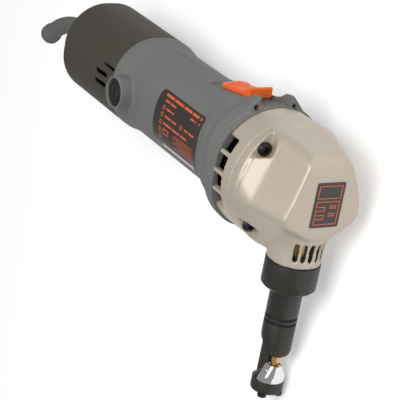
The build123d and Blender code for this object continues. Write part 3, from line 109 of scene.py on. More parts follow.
def activate(piece):
    """Make one piece the only selected and active object."""
    if bpy.context.object and bpy.context.object.mode != "OBJECT":
        bpy.ops.object.mode_set(mode="OBJECT")
    bpy.ops.object.select_all(action="DESELECT")
    piece.select_set(True)
    bpy.context.view_layer.objects.active = piece


def apply_modifier(piece, kind, **settings):
    """Add a modifier, set it and apply it to the mesh."""
    activate(piece)
    modifier = piece.modifiers.new(kind.title(), kind)
    for name, value in settings.items():
        setattr(modifier, name, value)
    bpy.ops.object.modifier_apply(modifier=modifier.name)


def band_edge(z):
    """Station of the collar band's tilted rear edge at a height."""
    return COLLAR_X - 10.5 - z * math.tan(math.radians(8.5))


def skin_of(node):
    """Copy of a node's surface with merged triangles, placed in the tool's own frame."""
    piece = bpy.data.objects.new(node + "_skin", frame["nodes"][node].data.copy())
    bpy.context.scene.collection.objects.link(piece)
    piece.data.materials.clear()
    piece.data.transform(TOOL.inverted())
    activate(piece)
    bpy.ops.object.mode_set(mode="EDIT")
    bpy.ops.mesh.select_all(action="SELECT")
    bpy.ops.mesh.remove_doubles(threshold=0.002 * MM)
    bpy.ops.mesh.dissolve_limited(angle_limit=math.radians(0.4))
    bpy.ops.object.mode_set(mode="OBJECT")
    return piece


def moulded(piece, grid, passes):
    """Remesh a piece on a fine grid and round all its edges a little, as moulding and casting do."""
    apply_modifier(piece, "TRIANGULATE")
    apply_modifier(piece, "REMESH", mode="VOXEL", voxel_size=grid * MM)
    apply_modifier(piece, "SMOOTH", factor=0.5, iterations=passes)


def places(piece):
    """All vertex positions as an array, in millimetres of the tool's own frame."""
    flat = np.empty(len(piece.data.vertices) * 3)
    piece.data.vertices.foreach_get("co", flat)
    return flat.reshape(-1, 3) / MM


def soften(piece, weights, passes):
    """Smooth part of a piece; weights holds one number from 0 to 1 for each vertex."""
    group = piece.vertex_groups.new(name="soft")
    levels = np.round(np.clip(weights, 0, 1) * 20).astype(int)
    for level in range(1, 21):
        group.add(np.nonzero(levels == level)[0].tolist(), level / 20, "REPLACE")
    apply_modifier(piece, "SMOOTH", factor=0.5, iterations=passes, vertex_group="soft")
    piece.vertex_groups.clear()


def edged(piece, width, segments=2, angle=32):
    """Break the sharp edges of a machined piece."""
    apply_modifier(piece, "BEVEL", limit_method="ANGLE", angle_limit=math.radians(angle), width=width * MM,
                   segments=segments, use_clamp_overlap=True, miter_outer="MITER_ARC")


def smooth_shading(piece, angle=None):
    """Smooth shading over the whole piece, or only across edges flatter than the angle."""
    activate(piece)
    if angle is None:
        bpy.ops.object.shade_smooth()
    else:
        bpy.ops.object.shade_smooth_by_angle(angle=math.radians(angle))


def cut_with(piece, cutter):
    """Take a cutter's volume out of a piece and delete the cutter."""
    apply_modifier(piece, "BOOLEAN", operation="DIFFERENCE", solver="EXACT", object=cutter)
    bpy.data.objects.remove(cutter)


def prism(sides, radius, depth, centre, axis):
    """Prism with its middle at a point, along an axis, in millimetres of the tool's own frame."""
    turn = Vector((0, 0, 1)).rotation_difference(Vector(axis)).to_euler()
    bpy.ops.mesh.primitive_cylinder_add(vertices=sides, radius=radius * MM, depth=depth * MM,
                                        location=Vector(centre) * MM, rotation=turn)
    made = bpy.context.object
    bake_place(made)
    return made


def block(middle, sides, turn=0.0):
    """Block with its middle at a point, turned about Y, in millimetres of the tool's own frame."""
    bpy.ops.mesh.primitive_cube_add(size=1, location=tuple(c * MM for c in middle), rotation=(0, turn, 0))
    made = bpy.context.object
    made.scale = tuple(c * MM for c in sides)
    bake_place(made)
    return made


def bake_place(piece):
    """Put a new piece's place into its mesh."""
    activate(piece)
    bpy.ops.object.transform_apply(location=True, rotation=True, scale=True)


def join_all(pieces):
    """Join pieces into the first one."""
    activate(pieces[0])
    for piece in pieces[1:]:
        piece.select_set(True)
    if len(pieces) > 1:
        bpy.ops.object.join()
    return pieces[0]


def settle(piece, name, body, slot, *nodes):
    """Lay a finished piece down with the tool, name it, give it its slot's finish, tie it to its body and hide
    the nodes it stands for.
    """
    piece.data.transform(TOOL)
    piece.name = name
    piece.data.name = name
    piece.data.materials.clear()
    piece.data.materials.append(finish(slot))
    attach(piece, body)
    if nodes:
        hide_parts(*nodes)


def unpainted(piece, in_shade, colour):
    """Give the faces whose middle lies in the region the near-black inner colour: the inner side is bare of
    lacquer, and its colour is darkened far below bare metal as painted shade.
    """
    piece.data.materials.append(finish("casting_paint", colour))
    to_tool = TOOL.inverted()
    for face in piece.data.polygons:
        x, y, z = to_tool @ face.center / MM
        face.material_index = int(in_shade(x, y, z))


def sink_seam(piece):
    """Sink the edge at the seam between ring and case, so that a fine dark line is left."""
    for vertex in piece.data.vertices:
        x, y, z = vertex.co / MM
        around = math.hypot(y, z)
        if abs(x - SEAM_X) < 0.5 and around > RING_RADIUS - 1.5:
            vertex.co.y -= 0.45 * y / around * MM
            vertex.co.z -= 0.45 * z / around * MM


# ---------------------------------------------------------------- shader groups

def add_node(tree, kind, inputs=None, **settings):
    """Add a shader node, set its properties and its input values or links."""
    node = tree.nodes.new(kind)
    for name, value in settings.items():
        setattr(node, name, value)
    for name, value in (inputs or {}).items():
        if isinstance(value, bpy.types.NodeSocket):
            tree.links.new(value, node.inputs[name])
        else:
            node.inputs[name].default_value = value
    return node


def new_group(name, inputs, outputs):
    """Start a shader group with float sockets; returns the tree, its input and its output node."""
    tree = bpy.data.node_groups.new(name, "ShaderNodeTree")
    for socket, value in inputs.items():
        made = tree.interface.new_socket(socket, in_out="INPUT", socket_type="NodeSocketFloat")
        made.default_value = value
    for socket in outputs:
        tree.interface.new_socket(socket, in_out="OUTPUT", socket_type="NodeSocketFloat")
    return tree, tree.nodes.new("NodeGroupInput"), tree.nodes.new("NodeGroupOutput")


def ramp(tree, value, low, high):
    """Stretch the range from low to high onto 0 to 1."""
    stretched = add_node(tree, "ShaderNodeMapRange", {"Value": value, "From Min": low, "From Max": high})
    return stretched.outputs["Result"]


def times(tree, first, second):
    """Product of two values."""
    return add_node(tree, "ShaderNodeMath", {0: first, 1: second}, operation="MULTIPLY").outputs[0]


def grain_group():
    """Fine surface grain as a height, and larger clouding as a slow variation."""
    if "Fine grain" in bpy.data.node_groups:
        return bpy.data.node_groups["Fine grain"]
    tree, given, out = new_group("Fine grain", {"Scale": 2200.0, "Cloud Scale": 45.0}, ["Height", "Cloud"])
    spot = add_node(tree, "ShaderNodeTexCoord").outputs["Object"]
    fine = add_node(tree, "ShaderNodeTexNoise", {"Vector": spot, "Scale": given.outputs["Scale"],
                                                 "Detail": 3.0, "Roughness": 0.6})
    broad = add_node(tree, "ShaderNodeTexNoise", {"Vector": spot, "Scale": given.outputs["Cloud Scale"],
                                                  "Detail": 5.0, "Roughness": 0.62})
    tree.links.new(fine.outputs["Fac"], out.inputs["Height"])
    tree.links.new(ramp(tree, broad.outputs["Fac"], 0.32, 0.68), out.inputs["Cloud"])
    return tree


def wear_group():
    """Rubbed edges: a mask that follows the outer edges and breaks up along them."""
    if "Edge wear" in bpy.data.node_groups:
        return bpy.data.node_groups["Edge wear"]
    tree, given, out = new_group("Edge wear", {"Start": 0.53, "End": 0.6, "Break Scale": 260.0}, ["Mask"])
    point = add_node(tree, "ShaderNodeNewGeometry").outputs["Pointiness"]
    spot = add_node(tree, "ShaderNodeTexCoord").outputs["Object"]
    edge = ramp(tree, point, given.outputs["Start"], given.outputs["End"])
    noise = add_node(tree, "ShaderNodeTexNoise", {"Vector": spot, "Scale": given.outputs["Break Scale"],
                                                  "Detail": 4.0, "Roughness": 0.7})
    broken = ramp(tree, noise.outputs["Fac"], 0.38, 0.62)
    tree.links.new(times(tree, edge, broken), out.inputs["Mask"])
    return tree


def scuff_group():
    """Fine scratches: thin wandering lines, only in some places."""
    if "Scuffs" in bpy.data.node_groups:
        return bpy.data.node_groups["Scuffs"]
    tree, given, out = new_group("Scuffs", {"Scale": 90.0, "Width": 0.012}, ["Mask"])
    spot = add_node(tree, "ShaderNodeTexCoord").outputs["Object"]
    drawn = add_node(tree, "ShaderNodeMapping", {"Vector": spot, "Rotation": (0.4, 0.9, 0.3),
                                                 "Scale": (0.35, 1.0, 1.6)}).outputs["Vector"]
    noise = add_node(tree, "ShaderNodeTexNoise", {"Vector": drawn, "Scale": given.outputs["Scale"],
                                                  "Detail": 2.0, "Roughness": 0.45})
    away = add_node(tree, "ShaderNodeMath", {0: noise.outputs["Fac"], 1: 0.5}, operation="SUBTRACT")
    distance = add_node(tree, "ShaderNodeMath", {0: away.outputs[0]}, operation="ABSOLUTE").outputs[0]
    line = add_node(tree, "ShaderNodeMapRange", {"Value": distance, "From Min": given.outputs["Width"],
                                                 "From Max": 0.0}).outputs["Result"]
    patch = add_node(tree, "ShaderNodeTexNoise", {"Vector": spot, "Scale": 60.0, "Detail": 2.0})
    there = ramp(tree, patch.outputs["Fac"], 0.55, 0.66)
    tree.links.new(times(tree, line, there), out.inputs["Mask"])
    return tree


def tooling_group():
    """Fine turning or grinding lines across the tool's own X or Z axis, as a height."""
    if "Tooling lines" in bpy.data.node_groups:
        return bpy.data.node_groups["Tooling lines"]
    tree, given, out = new_group("Tooling lines", {"Along Motor": 0.0, "Scale": 1500.0}, ["Height"])
    spot = add_node(tree, "ShaderNodeTexCoord").outputs["Object"]
    reach = []
    for axis in (TOOL.col[2], TOOL.col[0]):
        dot = add_node(tree, "ShaderNodeVectorMath", {0: spot, 1: tuple(axis[:3])}, operation="DOT_PRODUCT")
        reach.append(dot.outputs["Value"])
    mixed = add_node(tree, "ShaderNodeMix", {"Factor": given.outputs["Along Motor"], "A": reach[0],
                                             "B": reach[1]}, data_type="FLOAT").outputs["Result"]
    scaled = times(tree, mixed, given.outputs["Scale"])
    noise = add_node(tree, "ShaderNodeTexNoise", {"W": scaled, "Scale": 1.0, "Detail": 4.0, "Roughness": 0.7},
                     noise_dimensions="1D")
    tree.links.new(noise.outputs["Fac"], out.inputs["Height"])
    return tree


# ---------------------------------------------------------------- finishes

# roughness, metallic, grain scale, grain depth (mm), clouding, wear, scuffs, coat, tooling lines' depth (mm)
KINDS = {
    "plastic": dict(rough=0.5, metal=0.0, grain=1900.0, depth=0.035, cloud=0.10, wear=0.25, scuffs=0.10),
    "cast": dict(rough=0.42, metal=0.0, grain=900.0, depth=0.05, cloud=0.06, wear=0.30, scuffs=0.08,
                 coat=0.12),
    "blacked": dict(rough=0.46, metal=0.15, grain=1500.0, depth=0.02, cloud=0.30, wear=0.55, scuffs=0.45),
    "machined": dict(rough=0.28, metal=1.0, grain=1800.0, depth=0.008, cloud=0.12, wear=0.15, scuffs=0.25,
                     lines=0.03),
    "rubber": dict(rough=0.62, metal=0.0, grain=1300.0, depth=0.03, cloud=0.14, wear=0.12, scuffs=0.05),
    "wound": dict(rough=0.35, metal=0.6, grain=2500.0, depth=0.05, cloud=0.3, wear=0.0, scuffs=0.0,
                  lines=0.15),
    "printed": dict(rough=0.42, metal=0.0, grain=2600.0, depth=0.006, cloud=0.06, wear=0.0, scuffs=0.06,
                    coat=0.2),
}


def looks():
    """Finish of every material slot: its kind, its colour, and where it differs from its kind."""
    scene = bpy.context.scene
    shell, castings = scene.nibbler_shell, scene.nibbler_castings
    head, plates = scene.nibbler_head, scene.nibbler_plates
    return {
        "housing_plastic": ("plastic", shell.housing_colour, {}),
        "cover_plastic": ("plastic", shell.cover_colour, {"rough": 0.46, "gloss": 0.35}),
        "guard_rubber": ("rubber", shell.guard_colour, {"gloss": 0.3}),
        "cap_plastic": ("plastic", (0.022, 0.021, 0.021), {"rough": 0.4, "depth": 0.015}),
        "slider_plastic": ("plastic", shell.slider_colour, {"rough": 0.4, "depth": 0.012, "cloud": 0.05}),
        "casting_paint": ("cast", castings.paint_colour, {}),
        "screw_black": ("blacked", (0.022, 0.020, 0.020), {"rough": 0.22}),
        "head_black": ("blacked", head.black_colour, {"gloss": 0.2}),
        "punch_gold": ("machined", head.punch_colour, {"rough": 0.24}),
        "die_steel": ("machined", head.die_colour, {"rough": 0.4, "depth": 0.003, "cloud": 0.06}),
        "plate_print": ("printed", plates.plate_colour, {}),
        "screw_zinc": ("machined", (0.62, 0.62, 0.60), {"rough": 0.3}),
        "bridge_plastic": ("plastic", (0.02, 0.02, 0.02), {}),
        "bearing_steel": ("machined", (0.6, 0.6, 0.6), {"rough": 0.22}),
        "lamination_steel": ("machined", (0.25, 0.25, 0.26), {"rough": 0.45, "lines": 0.1, "along": 1.0}),
        "copper_wire": ("wound", (0.48, 0.19, 0.08), {}),
        "copper_bars": ("machined", (0.62, 0.32, 0.18), {"along": 1.0}),
        "brass_sheet": ("machined", (0.68, 0.53, 0.25), {}),
        "spring_steel": ("machined", (0.40, 0.40, 0.41), {"rough": 0.35}),
        "carbon": ("plastic", (0.02, 0.02, 0.02), {"rough": 0.6}),
        "shaft_steel": ("machined", (0.13, 0.125, 0.12), {"rough": 0.45}),
        "fan_plastic": ("plastic", (0.02, 0.02, 0.022), {}),
        "rod_plastic": ("plastic", (0.5, 0.49, 0.46), {}),
        "switch_plastic": ("plastic", (0.02, 0.02, 0.02), {}),
        "capacitor_can": ("plastic", (0.55, 0.45, 0.09), {"rough": 0.3, "coat": 0.4}),
        "plate_aluminium": ("machined", (0.62, 0.62, 0.61), {"rough": 0.35, "along": 1.0}),
        # Guide bush given a near-black colour far darker than bronze: painted shade seen through the neck
        # slots
        "bush_bronze": ("plastic", (0.045, 0.041, 0.034), {"rough": 0.55}),
        "gear_steel": ("machined", (0.38, 0.38, 0.38), {"rough": 0.32, "along": 1.0}),
    }


def toned(base, share, lift=0.0):
    """Colour made lighter or darker by a share, and lifted by a fixed amount."""
    return tuple(min(1.0, c * (1 + share) + lift) for c in base) + (1,)


def mixed_colour(tree, factor, first, second):
    """Mix of two colours by a mask."""
    return add_node(tree, "ShaderNodeMix", {"Factor": factor, "A": first, "B": second},
                    data_type="RGBA").outputs["Result"]


def finish(slot, colour=None):
    """Material of a slot, built from the shared groups; a colour gives a second version of it."""
    kind, base, own = looks()[slot]
    spec = {"coat": 0.0, "lines": 0.0, "along": 0.0, "gloss": 0.5, **KINDS[kind], **own}
    name = slot if colour is None else slot + "_accent_" + "_".join(str(round(c * 100)) for c in colour)
    if name in bpy.data.materials:
        return bpy.data.materials[name]
    base = tuple(colour or base)[:3]
    material = bpy.data.materials.new(name)
    material.use_nodes = True
    tree = material.node_tree
    shader = tree.nodes["Principled BSDF"]
    grain = add_node(tree, "ShaderNodeGroup", node_tree=grain_group())
    grain.inputs["Scale"].default_value = spec["grain"]
    tint = mixed_colour(tree, grain.outputs["Cloud"], toned(base, -spec["cloud"]), toned(base, spec["cloud"]))
    if spec["wear"]:
        wear = add_node(tree, "ShaderNodeGroup", node_tree=wear_group())
        worn = toned(base, 0.6 * spec["wear"], 0.09 * spec["wear"])
        tint = mixed_colour(tree, wear.outputs["Mask"], tint, worn)
    if spec["scuffs"]:
        scuffs = add_node(tree, "ShaderNodeGroup", node_tree=scuff_group())
        pale = toned(base, spec["scuffs"], 0.07 * spec["scuffs"])
        tint = mixed_colour(tree, scuffs.outputs["Mask"], tint, pale)
    tree.links.new(tint, shader.inputs["Base Color"])
    rough = add_node(tree, "ShaderNodeMapRange", {"Value": grain.outputs["Cloud"],
                                                  "To Min": spec["rough"] - 0.05,
                                                  "To Max": spec["rough"] + 0.06})
    tree.links.new(rough.outputs["Result"], shader.inputs["Roughness"])
    for socket, value in (("Metallic", spec["metal"]), ("Specular IOR Level", spec["gloss"]),
                          ("Coat Weight", spec["coat"]), ("Coat Roughness", 0.25)):
        shader.inputs[socket].default_value = value
    bump = add_node(tree, "ShaderNodeBump", {"Height": grain.outputs["Height"], "Strength": 1.0,
                                             "Distance": spec["depth"] * MM})
    if spec["lines"]:
        lines = add_node(tree, "ShaderNodeGroup", node_tree=tooling_group())
        lines.inputs["Along Motor"].default_value = spec["along"]
        bump = add_node(tree, "ShaderNodeBump", {"Height": lines.outputs["Height"], "Strength": 1.0,
                                                 "Distance": spec["lines"] * MM,
                                                 "Normal": bump.outputs["Normal"]})
    tree.links.new(bump.outputs["Normal"], shader.inputs["Normal"])
    return material


# ---------------------------------------------------------------- settings

class NibblerShell(bpy.types.PropertyGroup):
    """Plastic housing, cover, guard and slider."""
    housing_colour: FloatVectorProperty(name="Housing colour", description="Colour of the motor housing",
                                        subtype="COLOR", min=0, max=1, default=(0.150, 0.147, 0.140))
    cover_colour: FloatVectorProperty(name="Cover colour", description="Colour of the rear cover",
                                      subtype="COLOR", min=0, max=1, default=(0.050, 0.041, 0.035))
    guard_colour: FloatVectorProperty(name="Guard colour", description="Colour of the rubber cord guard",
                                      subtype="COLOR", min=0, max=1, default=(0.105, 0.090, 0.080))
    slider_colour: FloatVectorProperty(name="Slider colour", description="Colour of the switch slider",
                                       subtype="COLOR", min=0, max=1, default=(1.0, 0.15, 0.014))
    grid: FloatProperty(name="Surface grid", default=0.65, min=0.3, max=3.0,
                        description="Grid on which the moulded surfaces are rounded, in mm")
    boss_blend: FloatProperty(name="Boss blend", default=1.6, min=0.5, max=10.0,
                              description="Reach of the rounding round the brush bosses, in mm")
    line_depth: FloatProperty(name="Parting line", description="Depth of the parting line on top, in mm",
                              default=0.3, min=0.05, max=1.0)
    hollow: FloatProperty(name="Flare hollow", default=1.5, min=0.0, max=2.0,
                          description="Depth of the hollow behind the collar's band, in mm")
    mark_height: FloatProperty(name="Switch marks", description="Height of the raised switch marks, in mm",
                               default=0.35, min=0.1, max=1.0)
    ring_depth: FloatProperty(name="Slider ring depth", default=0.4, min=0.0, max=0.8,
                              description="Depth of the rings on the thumb pad, in mm")


class NibblerCastings(bpy.types.PropertyGroup):
    """Gear case and gear ring."""
    paint_colour: FloatVectorProperty(name="Casting colour", description="Colour of the lacquered castings",
                                      subtype="COLOR", min=0, max=1, default=(0.53, 0.465, 0.385))
    grid: FloatProperty(name="Surface grid", description="Grid on which the cast surfaces are rounded, in mm",
                        default=0.7, min=0.3, max=3.0)
    edge_passes: IntProperty(name="Edge rounding", default=4, min=0, max=60,
                             description="How far the edges of the castings are rounded")
    facet_passes: IntProperty(name="Facet blending", default=24, min=0, max=200,
                              description="How far the facets of the gear case flow together")
    nose_passes: IntProperty(name="Nose blending", default=210, min=0, max=400,
                             description="How far the right front edge of the case is rounded")
    # Near-black colour of the castings' inner side: painted shade in the vents and slots, darker than the bare
    # metal there
    raw_colour: FloatVectorProperty(name="Painted inner shade colour", description="Near-black painted shade on the bare inner side",
                                    subtype="COLOR", min=0, max=1, default=(0.07, 0.068, 0.065))


class NibblerHead(bpy.types.PropertyGroup):
    """Lock nut, die holder, punch and die."""
    black_colour: FloatVectorProperty(name="Black colour", description="Colour of the blackened steel",
                                      subtype="COLOR", min=0, max=1, default=(0.034, 0.026, 0.019))
    punch_colour: FloatVectorProperty(name="Punch colour", description="Colour of the punch's hard coat",
                                      subtype="COLOR", min=0, max=1, default=(0.80, 0.47, 0.12))
    die_colour: FloatVectorProperty(name="Die colour", description="Colour of the ground die",
                                    subtype="COLOR", min=0, max=1, default=(0.74, 0.67, 0.60))
    edge: FloatProperty(name="Edge break", description="Width of the broken edges, in mm",
                        default=0.35, min=0.05, max=1.5)


class NibblerPlates(bpy.types.PropertyGroup):
    """Rating plate on the grip and plate on the gear case, both with plain bars alone."""
    plate_colour: FloatVectorProperty(name="Plate colour", description="Colour of both plates",
                                      subtype="COLOR", min=0, max=1, default=(0.027, 0.022, 0.019))
    line_colour: FloatVectorProperty(name="Line colour", description="Colour of the plain lines on the plates",
                                     subtype="COLOR", min=0, max=1, default=(0.72, 0.12, 0.02))
    thickness: FloatProperty(name="Plate thickness", description="Thickness of both plates, in mm",
                             default=0.25, min=0.05, max=1.0)
    pale_colour: FloatVectorProperty(name="Pale bar colour", subtype="COLOR", min=0, max=1,
                                     description="Colour of the pale bar on the grip's plate",
                                     default=(0.62, 0.60, 0.57))


class NibblerStage(bpy.types.PropertyGroup):
    """Floor, light and camera."""
    floor_colour: FloatVectorProperty(name="Floor colour", description="Colour of the floor", subtype="COLOR",
                                      min=0, max=1, default=(0.86, 0.86, 0.86))
    floor_size: FloatProperty(name="Floor size", description="Side of the floor", subtype="DISTANCE",
                              unit="LENGTH", default=6.0, min=1.0, max=40.0)
    key_power: FloatProperty(name="Key light", description="Power of the main lamp", unit="POWER",
                             default=12.0, min=0.0, max=200.0)
    fill_power: FloatProperty(name="Fill light", description="Power of the filling lamp", unit="POWER",
                              default=3.2, min=0.0, max=200.0)
    sky: FloatProperty(name="Sky level", description="Strength of the even light from all round",
                       default=0.34, min=0.0, max=3.0)


# ---------------------------------------------------------------- operators

class NIBBLER_OT_motor_housing(bpy.types.Operator):
    """Grey motor housing with rounded edges, a parting line on top and switch marks in the recess"""
    bl_idname = "nibbler.motor_housing"
    bl_label = "Motor housing"

    def execute(self, context):
        look = context.scene.nibbler_shell
        piece = skin_of("motor_housing")
        moulded(piece, look.grid, 2)
        at = places(piece)
        spread = np.hypot(at[:, 0] - BRUSH_X, at[:, 2]) - BOSS_RADIUS
        near = np.clip(1.3 - np.abs(spread) / look.boss_blend, 0, 1) * (np.abs(at[:, 1]) < 35.5)
        around = np.hypot(at[:, 1], at[:, 2])
        shoulder = (at[:, 0] < -165) & (at[:, 0] > -189) & (around > 28.5)
        flare = np.clip((band_edge(at[:, 2]) - 1.5 - at[:, 0]) / 4.0, 0, 1) * (at[:, 0] > -128)
        flare *= np.clip((around - 29) / 2.0, 0, 1) * np.clip((np.abs(at[:, 1]) - 14) / 4.0, 0, 1)
        soften(piece, np.maximum(near, shoulder * 0.8), 10)
        soften(piece, flare, 20)
        self.crease(piece, look.hollow)
        self.parting_line(piece, look.line_depth)
        smooth_shading(piece, 45)
        marks = self.switch_marks(look.mark_height)
        whole = join_all([piece] + marks)
        settle(whole, "motor_housing_moulding", "tool", "housing_plastic", "motor_housing")
        return DONE

    def crease(self, piece, depth):
        """Hollow out the flare behind the collar's band and lift the flanks beside the switch."""
        facing = [vertex.normal.copy() for vertex in piece.data.vertices]
        for vertex, normal in zip(piece.data.vertices, facing):
            x, y, z = vertex.co / MM
            around = math.hypot(y, z)
            behind = (band_edge(z) - x) / 15.0
            outward = normal.y * y + normal.z * z > 0.3 * around
            if 0 < behind < 1 and around > 29 and abs(y) > 10 and outward:
                sink = depth * 4 * behind * (1 - behind) * min(1.0, (abs(y) - 10) / 6.0)
                vertex.co.y -= sink * y / around * MM
                vertex.co.z -= sink * z / around * MM
            if z > 38 and 10 < abs(y) < 20 and -65 < x < -48.5:
                rise = min(1.0, (x + 65) / 9.0) * min(1.0, (-x - 48.5) / 7.0) * min(1.0, (z - 38) / 3.0)
                vertex.co.z += 1.8 * rise * min(1.0, (20 - abs(y)) / 4.0) * MM

    def parting_line(self, piece, depth):
        """Thin groove along the top, from the cover to the switch recess."""
        tops = ((-191.7, 32.3), (-185.5, 32.3), (-173.5, 30.4), (-127.0, 30.4), (-112.9, 31.1))
        cutters = []
        for (x0, z0), (x1, z1) in zip(tops, tops[1:]):
            rise = math.atan2(z1 - z0, x1 - x0)
            long = math.hypot(x1 - x0, z1 - z0) + 0.1
            middle = ((x0 + x1) / 2, 0, (z0 + z1) / 2 + 1 - depth)
            cutters.append(block(middle, (long, 0.35, 2), -rise))
        for cutter in cutters:
            cut_with(piece, cutter)

    def switch_marks(self, height):
        """Two raised bars and a ring on the floor in front of the slider."""
        marks = [block((MARKS_X, y, z), (3.0, 0.55, 2 * height)) for y, z in ((-6.6, 38.95), (-1.2, 39.35))]
        bpy.ops.mesh.primitive_torus_add(location=(MARKS_X * MM, 4.8 * MM, 39.3 * MM), major_radius=1.5 * MM,
                                         minor_radius=0.3 * MM, major_segments=40, minor_segments=10)
        marks.append(bpy.context.object)
        bake_place(marks[-1])
        return marks


class NIBBLER_OT_rear_cover(bpy.types.Operator):
    """Dark rear cover with a rounded back"""
    bl_idname = "nibbler.rear_cover"
    bl_label = "Rear cover"

    def execute(self, context):
        piece = skin_of("rear_cover")
        moulded(piece, context.scene.nibbler_shell.grid, 2)
        smooth_shading(piece, 45)
        settle(piece, "rear_cover_moulding", "tool", "cover_plastic", "rear_cover")
        return DONE


class NIBBLER_OT_cord_guard(bpy.types.Operator):
    """Rubber cord guard with its bead"""
    bl_idname = "nibbler.cord_guard"
    bl_label = "Cord guard"

    def execute(self, context):
        piece = skin_of("cord_guard")
        moulded(piece, 0.5, 6)
        smooth_shading(piece)
        settle(piece, "cord_guard_rubber", "tool", "guard_rubber", "cord_guard")
        return DONE


class NIBBLER_OT_brush_caps(bpy.types.Operator):
    """Slotted caps of the brush holders"""
    bl_idname = "nibbler.brush_caps"
    bl_label = "Brush caps"

    def execute(self, context):
        piece = skin_of("brush_caps")
        edged(piece, 0.25)
        smooth_shading(piece, 30)
        settle(piece, "brush_caps_slotted", "tool", "cap_plastic", "brush_caps")
        return DONE


class NIBBLER_OT_switch_slider(bpy.types.Operator):
    """Orange thumb slider with rings on its pad"""
    bl_idname = "nibbler.switch_slider"
    bl_label = "Switch slider"

    def execute(self, context):
        depth = context.scene.nibbler_shell.ring_depth
        piece = skin_of("switch_slider")
        moulded(piece, 0.35, 4)
        centre_x, pad_reach = SLIDER_REAR_X + 12.0, 7.9
        for vertex in piece.data.vertices:
            x, y, z = vertex.co / MM
            away = math.hypot(x - centre_x, y)
            if vertex.normal.z > 0.6 and away < pad_reach and z > 30:
                wave = 0.5 + 0.5 * math.cos(2 * math.pi * away / 2.4)
                fade = min(1.0, (pad_reach - away) / 1.2)
                crown = 1.9 * (1 - (away / pad_reach) ** 2) ** 0.5
                vertex.co.z += (crown - depth * wave) * fade * MM
        smooth_shading(piece)
        settle(piece, "switch_slider_moulding", "switch", "slider_plastic", "switch_slider")
        return DONE


class NIBBLER_OT_gear_ring(bpy.types.Operator):
    """Cast gear ring with its comb of vents"""
    bl_idname = "nibbler.gear_ring"
    bl_label = "Gear ring"

    def execute(self, context):
        look = context.scene.nibbler_castings
        piece = skin_of("gear_ring")
        moulded(piece, look.grid, 2)
        sink_seam(piece)
        smooth_shading(piece, 45)
        settle(piece, "gear_ring_casting", "tool", "casting_paint", "gear_ring")
        # Inner side of the ring painted near black: painted shade seen through the comb of vents
        unpainted(piece, lambda x, y, z: math.hypot(y, z) < RING_BORE, look.raw_colour)
        return DONE


class NIBBLER_OT_gear_case(bpy.types.Operator):
    """Cast gear case whose facets flow together"""
    bl_idname = "nibbler.gear_case"
    bl_label = "Gear case"

    def execute(self, context):
        look = context.scene.nibbler_castings
        piece = skin_of("gear_case")
        moulded(piece, look.grid, look.edge_passes)
        self.blend(piece, look)
        self.pull_in(piece)
        sink_seam(piece)
        smooth_shading(piece, 45)
        settle(piece, "gear_case_casting", "tool", "casting_paint", "gear_case")
        # Inside of the neck painted near black: painted shade seen through the neck slots
        unpainted(piece, lambda x, y, z: math.hypot(x, y) < NECK_BORE and z < -21, look.raw_colour)
        return DONE

    def blend(self, piece, look):
        """Let the facets flow together, but for the screw pockets, and round the right front further."""
        at = places(piece)
        outer = (at[:, 0] > -15.0) & (at[:, 2] > -30) & (np.hypot(at[:, 1], at[:, 2]) > 24)
        inside_notch = np.minimum(np.abs(at[:, 1]), np.abs(at[:, 2])) - 17.0
        notch = np.where(at[:, 0] < -3.5, np.clip(1 - inside_notch / 2.0, 0.12, 1), 1)
        rim = np.clip((at[:, 0] + 15.0) / 4.0, 0, 1)
        soften(piece, outer * rim * notch, look.facet_passes)
        at = places(piece)
        front = np.clip((at[:, 0] - 2) / 6.0, 0, 1) * (at[:, 2] > -26)
        soften(piece, front * np.clip((at[:, 1] - 5) / 8.0, 0, 1), look.nose_passes)
        at = places(piece)
        top = np.clip((at[:, 2] - 14) / 8.0, 0, 1) * (at[:, 0] > 6)
        soften(piece, top * np.clip((at[:, 1] + 14) / 8.0, 0, 1), look.nose_passes // 3)
        low = np.clip(1.6 - np.linalg.norm(at - (21.0, -26.0, -10.0), axis=1) / 9.0, 0, 1)
        rim = np.clip(1.4 - np.abs(at[:, 2] + 16.5) / 7.0, 0, 1) * (at[:, 0] > 15)
        soften(piece, np.maximum(low, rim), look.nose_passes // 3)

    def pull_in(self, piece):
        """Round both corners of the right side further."""
        for vertex in piece.data.vertices:
            x, y, z = vertex.co / MM
            if x < -14 or y < 8 or z < -26:
                continue
            ahead = min(1.0, (x + 14) / 8.0)
            for corner_y, corner_z, reach, depth in PULLS:
                away = (y - corner_y) ** 2 + (z - corner_z) ** 2
                pull = depth * ahead * math.exp(-away / (2 * reach * reach)) * MM
                vertex.co.y -= pull * corner_y / math.hypot(corner_y, corner_z)
                vertex.co.z -= pull * corner_z / math.hypot(corner_y, corner_z)


class NIBBLER_OT_case_screws(bpy.types.Operator):
    """Black pan-head screws with hexagon sockets in the gear case"""
    bl_idname = "nibbler.case_screws"
    bl_label = "Case screws"

    def execute(self, context):
        piece = skin_of("case_screws")
        edged(piece, 0.5, 3)
        sockets = [prism(6, 2.0, 4.0, (-14.6, y * CASE_SCREW_PLACE, z * CASE_SCREW_PLACE), (1, 0, 0))
                   for y in (-1, 1) for z in (-1, 1)]
        cut_with(piece, join_all(sockets))
        smooth_shading(piece, 28)
        settle(piece, "case_screws_socketed", "tool", "screw_black", "case_screws")
        return DONE


class NIBBLER_OT_lock_nut(bpy.types.Operator):
    """Blackened lock nut with spanner flats"""
    bl_idname = "nibbler.lock_nut"
    bl_label = "Lock nut"

    def execute(self, context):
        piece = skin_of("lock_nut")
        edged(piece, context.scene.nibbler_head.edge, 3, 20)
        smooth_shading(piece, 18)
        settle(piece, "lock_nut_turned", "nut", "head_black", "lock_nut")
        return DONE


class NIBBLER_OT_die_holder(bpy.types.Operator):
    """Blackened barrel, post and foot"""
    bl_idname = "nibbler.die_holder"
    bl_label = "Die holder"

    def execute(self, context):
        piece = skin_of("die_holder")
        edged(piece, context.scene.nibbler_head.edge * 0.7, 2, 40)
        smooth_shading(piece, 28)
        settle(piece, "die_holder_blackened", "die_set", "head_black", "die_holder")
        return DONE


